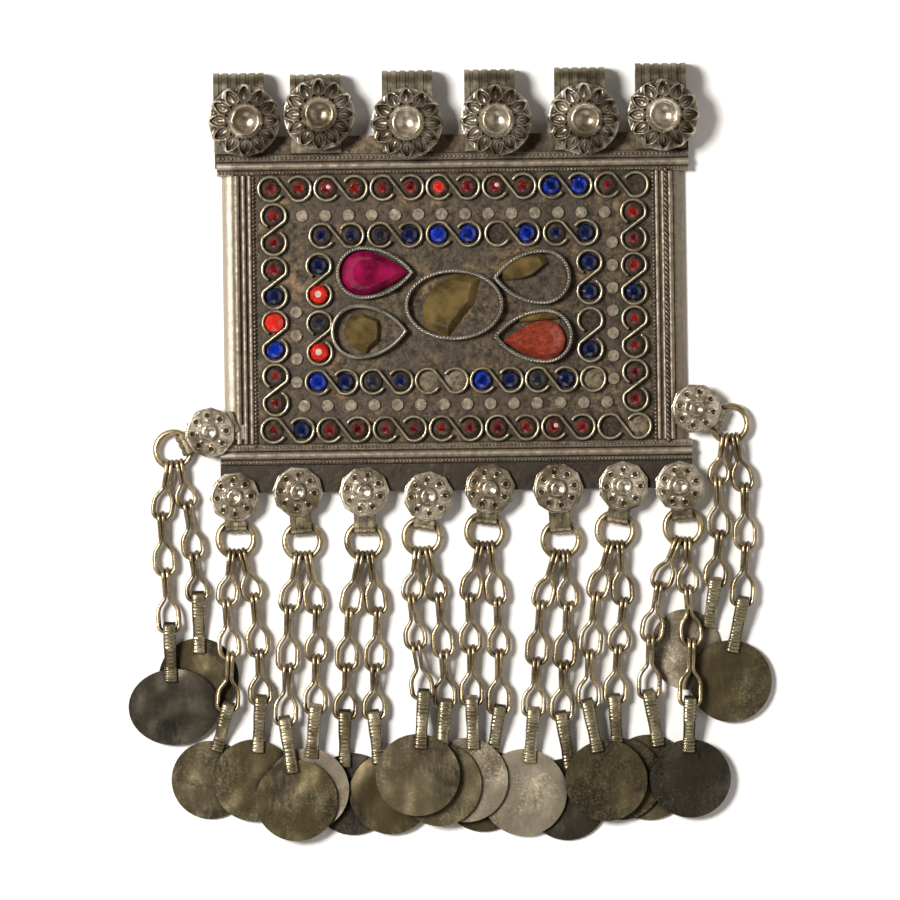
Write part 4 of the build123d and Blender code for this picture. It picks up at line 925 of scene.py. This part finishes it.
for number, (x, y, lean) in enumerate(ROSETTES, 1):
    loop = Mesh(f"strap_loop_skin_{number}", [silver, strap_metal])
    centre = place(x, y, ROSETTE_BASE)
    turn = Euler((radians(lean[0]), radians(lean[1]), 0)).to_matrix()
    rim = polygon_rim(ROSETTE_RADIUS, PETALS)

    def in_rosette(p):
        local = turn.transposed() @ (p - centre) / MM
        return local.z > -BASE_PLAY and hypot(local.x, local.y) < rim(atan2(local.y, local.x)) + EDGE_PLAY

    trimmed(loop, f"strap_loop_{number}", in_rosette, strap_metal)
    polar_skin(loop, centre, turn, rim, *ROSETTE_GRID, rosette_relief(number), silver)
    loop.build(f"strap_loop_{number}")

# ---- small domes on the chain hangers

DOME_RADIUS = 5.6
DOME_BASE = 3.5
DOMES = [(-55.3, -26.3), (-49.9, -40.9), (-35.7, -39.9), (-20.8, -40.1), (-6.4, -41.3),
         (7.4, -39.8), (22.7, -39.9), (37.4, -39.6), (50.1, -39.7), (54.0, -22.4)]
# Heights over the dome's base plane and reaches from its middle
PIT_RADIUS = 1.35
PIT_FLOOR = 3.35
PIT_DEPTH = 0.45
DOME_FOOT = 0.5
DOME_RISE = 2.45
DOME_SPREAD = 5.0
DOME_CURVE = 1.8
BOSS_RADIUS = 1.55
BOSS_WIDTH = 0.42
BOSS_END = 3.0
RINGLETS = 8
RINGLET_AT = 3.8
RINGLET_RADIUS = 0.72
RINGLET_WIDTH = 0.24
RINGLET_RISE = 0.42
RINGLET_PIT = 0.28
RINGLET_PIT_WIDTH = 0.42
RINGLET_END = 5.3
DOME_CORNERS = 10
DOME_GRID = (36, 160)
RIM_REACH = DOME_RADIUS + 0.1


def dome_relief(turned):
    """A pit in a boss on a dome, with a ring of small raised circles."""
    def height(reach, angle):
        if reach < PIT_RADIUS:
            return PIT_FLOOR + PIT_DEPTH * (reach / PIT_RADIUS) ** 2
        body = DOME_FOOT + DOME_RISE * max(0.0, 1 - (reach / DOME_SPREAD) ** DOME_CURVE)
        boss = ridge(max(0.0, reach - BOSS_RADIUS), BOSS_WIDTH)
        side = off_petal(angle + turned, RINGLETS)
        away = hypot(reach * cos(side) - RINGLET_AT, reach * sin(side))
        ring = RINGLET_RISE * ridge(away - RINGLET_RADIUS, RINGLET_WIDTH)
        pit = RINGLET_PIT * ridge(away, RINGLET_PIT_WIDTH)
        return body + boss * (reach < BOSS_END) + (ring - pit) * (reach < RINGLET_END)
    return height


for number, (x, y) in enumerate(DOMES, 1):
    hanger = Mesh(f"drop_hanger_skin_{number:02d}", [silver, bail_metal])
    centre = place(x, y, DOME_BASE)

    def in_dome(p):
        beside = hypot(p.x - centre.x, p.y - centre.y)
        return p.z > (DOME_BASE - BASE_PLAY) * MM and beside < (DOME_RADIUS + EDGE_PLAY) * MM

    trimmed(hanger, f"drop_hanger_{number:02d}", in_dome, bail_metal)
    turned = 6 * wobble(number, 3.0)
    polar_skin(hanger, centre, Euler((0, 0, 0)).to_matrix(), polygon_rim(RIM_REACH, DOME_CORNERS, turned),
               *DOME_GRID, dome_relief(turned), silver)
    hanger.build(f"drop_hanger_{number:02d}")

# ---- ribbed straps of the bails: where each starts on its last link and where its tongue ends

# Each bail: X and Y of its start, then X and Y of its end
BAILS = {
    "01a": (-58.4, -63.9, -58.4, -75.9), "01b": (-64.9, -70.8, -64.8, -82.3),
    "02a": (-52.2, -88.8, -54.8, -98.0), "02b": (-44.7, -87.3, -45.5, -98.4),
    "03a": (-39.2, -92.1, -37.7, -103.0), "03b": (-32.5, -89.5, -33.5, -99.7),
    "04a": (-25.8, -90.9, -26.0, -102.0), "04b": (-19.3, -91.0, -18.3, -101.2),
    "05a": (-8.1, -86.4, -8.9, -97.8), "05b": (-3.2, -88.7, -4.2, -99.2),
    "06a": (2.7, -88.1, 2.9, -98.2), "06b": (8.8, -90.2, 7.2, -99.8),
    "07a": (16.5, -90.8, 15.5, -101.4), "07b": (22.9, -91.8, 24.7, -103.0),
    "08a": (28.9, -89.1, 30.9, -99.2), "08b": (34.8, -88.1, 35.3, -99.0),
    "09a": (42.6, -87.1, 44.6, -98.2), "09b": (51.7, -88.8, 51.3, -99.6),
    "10a": (57.6, -62.2, 56.2, -71.6), "10b": (63.7, -66.6, 61.4, -77.2),
}
BAIL_START = -1.5
BAIL_END_PLAY = 0.05
BAIL_HALF = 1.42
BAIL_STEPS = 90
BAIL_SECTIONS = 9
RIB_PITCH = 0.72
RIB_PITCH_CHANGE = 0.16
RIB_SHARPNESS = 0.6
RIB_WIDENING = 0.06
RIB_RISE = 0.2
BAND_THICKNESS = 0.05
# The part of the length where the ribs are worn low, and how much of them is left there
PLAIN_PART = (0.42, 0.76)
PLAIN_RIBS = 0.35
# Depth, middle and half width of the waist, as shares
WAIST = (0.1, 0.62, 0.14)
EDGE_DROP = 0.35
RAY_HEIGHT = 0.05


def bail_band(mesh, node, start_x, start_y, end_x, end_y, seed):
    """A ribbed band over the front of one bail, which follows the CAD solid's height."""
    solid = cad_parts[node]
    begin = place(start_x, start_y, 0)
    along = place(end_x, end_y, 0) - begin
    length = along.length / MM
    along.normalize()
    across = Vector((along.y, -along.x, 0))
    rows = []
    for i in range(BAIL_STEPS + 1):
        y = BAIL_START + (length + BAIL_END_PLAY - BAIL_START) * i / BAIL_STEPS
        middle = begin + along * y * MM
        above = Vector((middle.x, middle.y, RAY_HEIGHT))
        hit, spot, normal, index = solid.ray_cast(above, Vector((0, 0, -1)))
        rows.append((y, middle, spot.z / MM if hit else (rows[-1][2] if rows else 1.0)))
    pitch = RIB_PITCH + RIB_PITCH_CHANGE * wobble(seed, 2.0)
    points = []
    faces = []
    for y, middle, z in rows:
        share = (y - BAIL_START) / (length - BAIL_START)
        ribs = PLAIN_RIBS if PLAIN_PART[0] <= share <= PLAIN_PART[1] else 1.0
        rib = abs(sin(pi * (y - BAIL_START) / pitch)) ** RIB_SHARPNESS
        waist = 1.0 - WAIST[0] * ridge(share - WAIST[1], WAIST[2])
        lift = BAND_THICKNESS + RIB_RISE * ribs * rib
        for s in range(BAIL_SECTIONS):
            a = pi * s / (BAIL_SECTIONS - 1)
            side = cos(a) * (BAIL_HALF + RIB_WIDENING * rib * ribs) * waist
            rise = lift * sin(a) ** 0.5 - EDGE_DROP * abs(cos(a)) ** 5
            points.append(Vector((middle.x, middle.y, (z + rise) * MM)) + across * side * MM)
    last = BAIL_SECTIONS - 1
    for i in range(BAIL_STEPS):
        here = i * BAIL_SECTIONS
        there = here + BAIL_SECTIONS
        for s in range(last):
            faces.append([here + s, here + s + 1, there + s + 1, there + s])
        faces.append([here, there, there + last, here + last])
    faces.append(list(range(BAIL_SECTIONS))[::-1])
    faces.append([BAIL_STEPS * BAIL_SECTIONS + s for s in range(BAIL_SECTIONS)])
    mesh.add(points, faces, bail_metal)


for number in range(1, 11):
    bands = Mesh(f"bail_bands_{number:02d}", [bail_metal])
    for strand in "ab":
        mark = f"{number:02d}{strand}"
        bail_band(bands, f"disc_drop_{mark}", *BAILS[mark], number * 2.3 + (strand == "b"))
    bands.build()

# ---- twisted and plain wires round the bezels

OVAL_STEPS = 72
TIP_STEPS = 12
ROUND_STEPS = 24


def oval_line(x, y, length, width, z):
    turns = [2 * pi * i / OVAL_STEPS for i in range(OVAL_STEPS)]
    return [place(x + length / 2 * cos(a), y + width / 2 * sin(a), z) for a in turns]


def pear_line(x, y, length, width, z, flip):
    """The pear outline of the plate's bezels: a half circle, and two arcs that meet at the point."""
    line = []
    round_end = (width - length) / 2
    reach = length / 2 - round_end
    half = width / 2
    arc = (reach**2 + half**2) / (2 * half)
    swing = acos((arc - half) / arc)
    for i in range(TIP_STEPS + 1):
        a = swing * (1 - i / TIP_STEPS)
        line.append((round_end + arc * sin(a), half - arc * (1 - cos(a))))
    for i in range(1, ROUND_STEPS + 1):
        a = pi / 2 + pi * i / ROUND_STEPS
        line.append((round_end + half * cos(a), half * sin(a)))
    for i in range(1, TIP_STEPS):
        a = swing * i / TIP_STEPS
        line.append((round_end + arc * sin(a), -half + arc * (1 - cos(a))))
    return [place(x + flip * px, y + py, z) for px, py in line]


BEZEL_LEVEL = FACE + 2.15
RIM_INSET = 0.7
PLAIN_STEP = 0.8
PLAIN_RADIUS = 0.3
# Twisted wires: radius and pitch
OVAL_ROPE = (0.33, 1.5)
PEAR_ROPE = (0.34, 1.4)
# The oval: centre, length and width
OVAL = (-0.1, 1.7, 21.4, 15.2)
# Each pear: centre, length, width, which way it points, and whether its wire is twisted
PEARS = (
    (-17.8, 9.1, 17.4, 11.8, 1, True),
    (-19.3, -4.1, 17.2, 12.2, 1, False),
    (17.5, 7.7, 17.4, 12.3, -1, True),
    (17.6, -5.6, 17.8, 12.1, -1, True),
)

bezels = Mesh("bezel_wires", [bezel_wire])
rope(bezels, oval_line(*OVAL, BEZEL_LEVEL), OVAL_ROPE[0] * MM, OVAL_ROPE[1] * MM, bezel_wire, True)
for x, y, length, width, flip, twisted in PEARS:
    rim_line = pear_line(x, y, length - RIM_INSET, width - RIM_INSET, BEZEL_LEVEL, flip)
    if twisted:
        rope(bezels, rim_line, PEAR_ROPE[0] * MM, PEAR_ROPE[1] * MM, bezel_wire, True)
    else:
        tube(bezels, even_steps(rim_line, PLAIN_STEP * MM, True), PLAIN_RADIUS * MM, bezel_wire, True)
bezels.build()

# ---- materials of the CAD pieces

LOOKS = (
    ("plate", plate_look),
    ("strap_loop", silver),
    ("drop_hanger", silver),
    ("chain", chain_metal),
    ("pink_pear_stone", pink_glass),
    ("red_pear_stone", foil_red),
    ("amber", amber_glass),
    ("foil_scrap", amber_glass),
)


def look_of(name):
    """The look of a CAD piece, by its name. Loose stones that have no entry are dark glass."""
    if name.startswith("disc_drop"):
        return disc_looks[name[-3:]]
    for start, look in LOOKS:
        if name.startswith(start):
            return look
    return dark_glass


for name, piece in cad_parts.items():
    look = look_of(name)
    if piece.material_slots:
        for slot in piece.material_slots:
            slot.material = look
    else:
        piece.data.materials.append(look)

# ---- floor, light and camera

FLOOR_HALF = 2
corners = [(x * FLOOR_HALF, y * FLOOR_HALF, 0) for x, y in ((-1, -1), (1, -1), (1, 1), (-1, 1))]
floor_mesh = bpy.data.meshes.new("floor")
floor_mesh.from_pydata(corners, [], [(0, 1, 2, 3)])
floor = bpy.data.objects.new("floor", floor_mesh)
bpy.context.scene.collection.objects.link(floor)
paper = Nodes("floor_paper")
paper_grain = paper.noise(scale=900.0, detail=3.0, rough=0.5)
paper_colour = paper.mix(paper_grain, (0.93, 0.915, 0.90), (0.90, 0.885, 0.87))
floor_mesh.materials.append(paper.done(paper_colour, rough=0.85, metallic=0.0))

scene = bpy.context.scene
world = bpy.data.worlds.new("studio")
scene.world = world
world.use_nodes = True
sky_nodes = world.node_tree.nodes
sky_links = world.node_tree.links
sky = sky_nodes["Background"]
# The sky is pale near the horizon and dark overhead, as above a table in a room
toward = sky_nodes.new("ShaderNodeSeparateXYZ")
sky_links.new(sky_nodes.new("ShaderNodeTexCoord").outputs["Generated"], toward.inputs[0])
overhead = sky_nodes.new("ShaderNodeValToRGB")
low_stop, high_stop = overhead.color_ramp.elements
low_stop.position = 0.35
low_stop.color = (0.66, 0.60, 0.545, 1)
high_stop.position = 0.85
high_stop.color = (0.06, 0.055, 0.05, 1)
sky_links.new(toward.outputs["Z"], overhead.inputs["Fac"])
sky_links.new(overhead.outputs["Color"], sky.inputs["Color"])
sky.inputs["Strength"].default_value = 0.65


def soft_light(name, spot, aim, size, energy, colour):
    """A round area light at a spot, turned to what it aims at."""
    data = bpy.data.lights.new(name, "AREA")
    data.shape = "DISK"
    data.size = size
    data.energy = energy
    data.color = colour
    lamp = bpy.data.objects.new(name, data)
    lamp.location = spot
    lamp.rotation_euler = (Vector(aim) - Vector(spot)).to_track_quat("-Z", "Y").to_euler()
    scene.collection.objects.link(lamp)


soft_light("key", spot=(-0.54, 0.18, 0.85), aim=(0, 0, 0), size=0.34, energy=14.2, colour=(1.0, 0.982, 0.95))
soft_light("fill", spot=(0.75, 0.10, 0.70), aim=(0, 0, 0), size=1.20, energy=1.9, colour=(1.0, 0.98, 0.95))
soft_light("front", spot=(-0.10, -0.80, 0.60), aim=(0, -0.02, 0), size=0.60, energy=1.0,
           colour=(1.0, 0.99, 0.98))

# The photograph's frame: 900 pixels, 0.225 mm to a pixel, seen from straight above
PIXELS = 900
PIXEL_MM = 0.225
PLATE_PIXEL = (454.5, 312.5)
ROLL = radians(0.75)
CAMERA_HEIGHT = 1.6
SENSOR = 36.0
across = (PIXELS / 2 - PLATE_PIXEL[0]) * PIXEL_MM
down = -(PIXELS / 2 - PLATE_PIXEL[1]) * PIXEL_MM
centre = place(across * cos(ROLL) + down * sin(ROLL), down * cos(ROLL) - across * sin(ROLL), 0)
camera_data = bpy.data.cameras.new("camera")
camera = bpy.data.objects.new("camera", camera_data)
camera_data.sensor_width = SENSOR
camera_data.lens = SENSOR * CAMERA_HEIGHT / (PIXELS * PIXEL_MM * MM)
camera_data.clip_end = 10.0
camera.location = (centre.x, centre.y, CAMERA_HEIGHT)
camera.rotation_euler = (0, 0, -ROLL)
scene.collection.objects.link(camera)
scene.camera = camera
scene.view_settings.view_transform = "Standard"

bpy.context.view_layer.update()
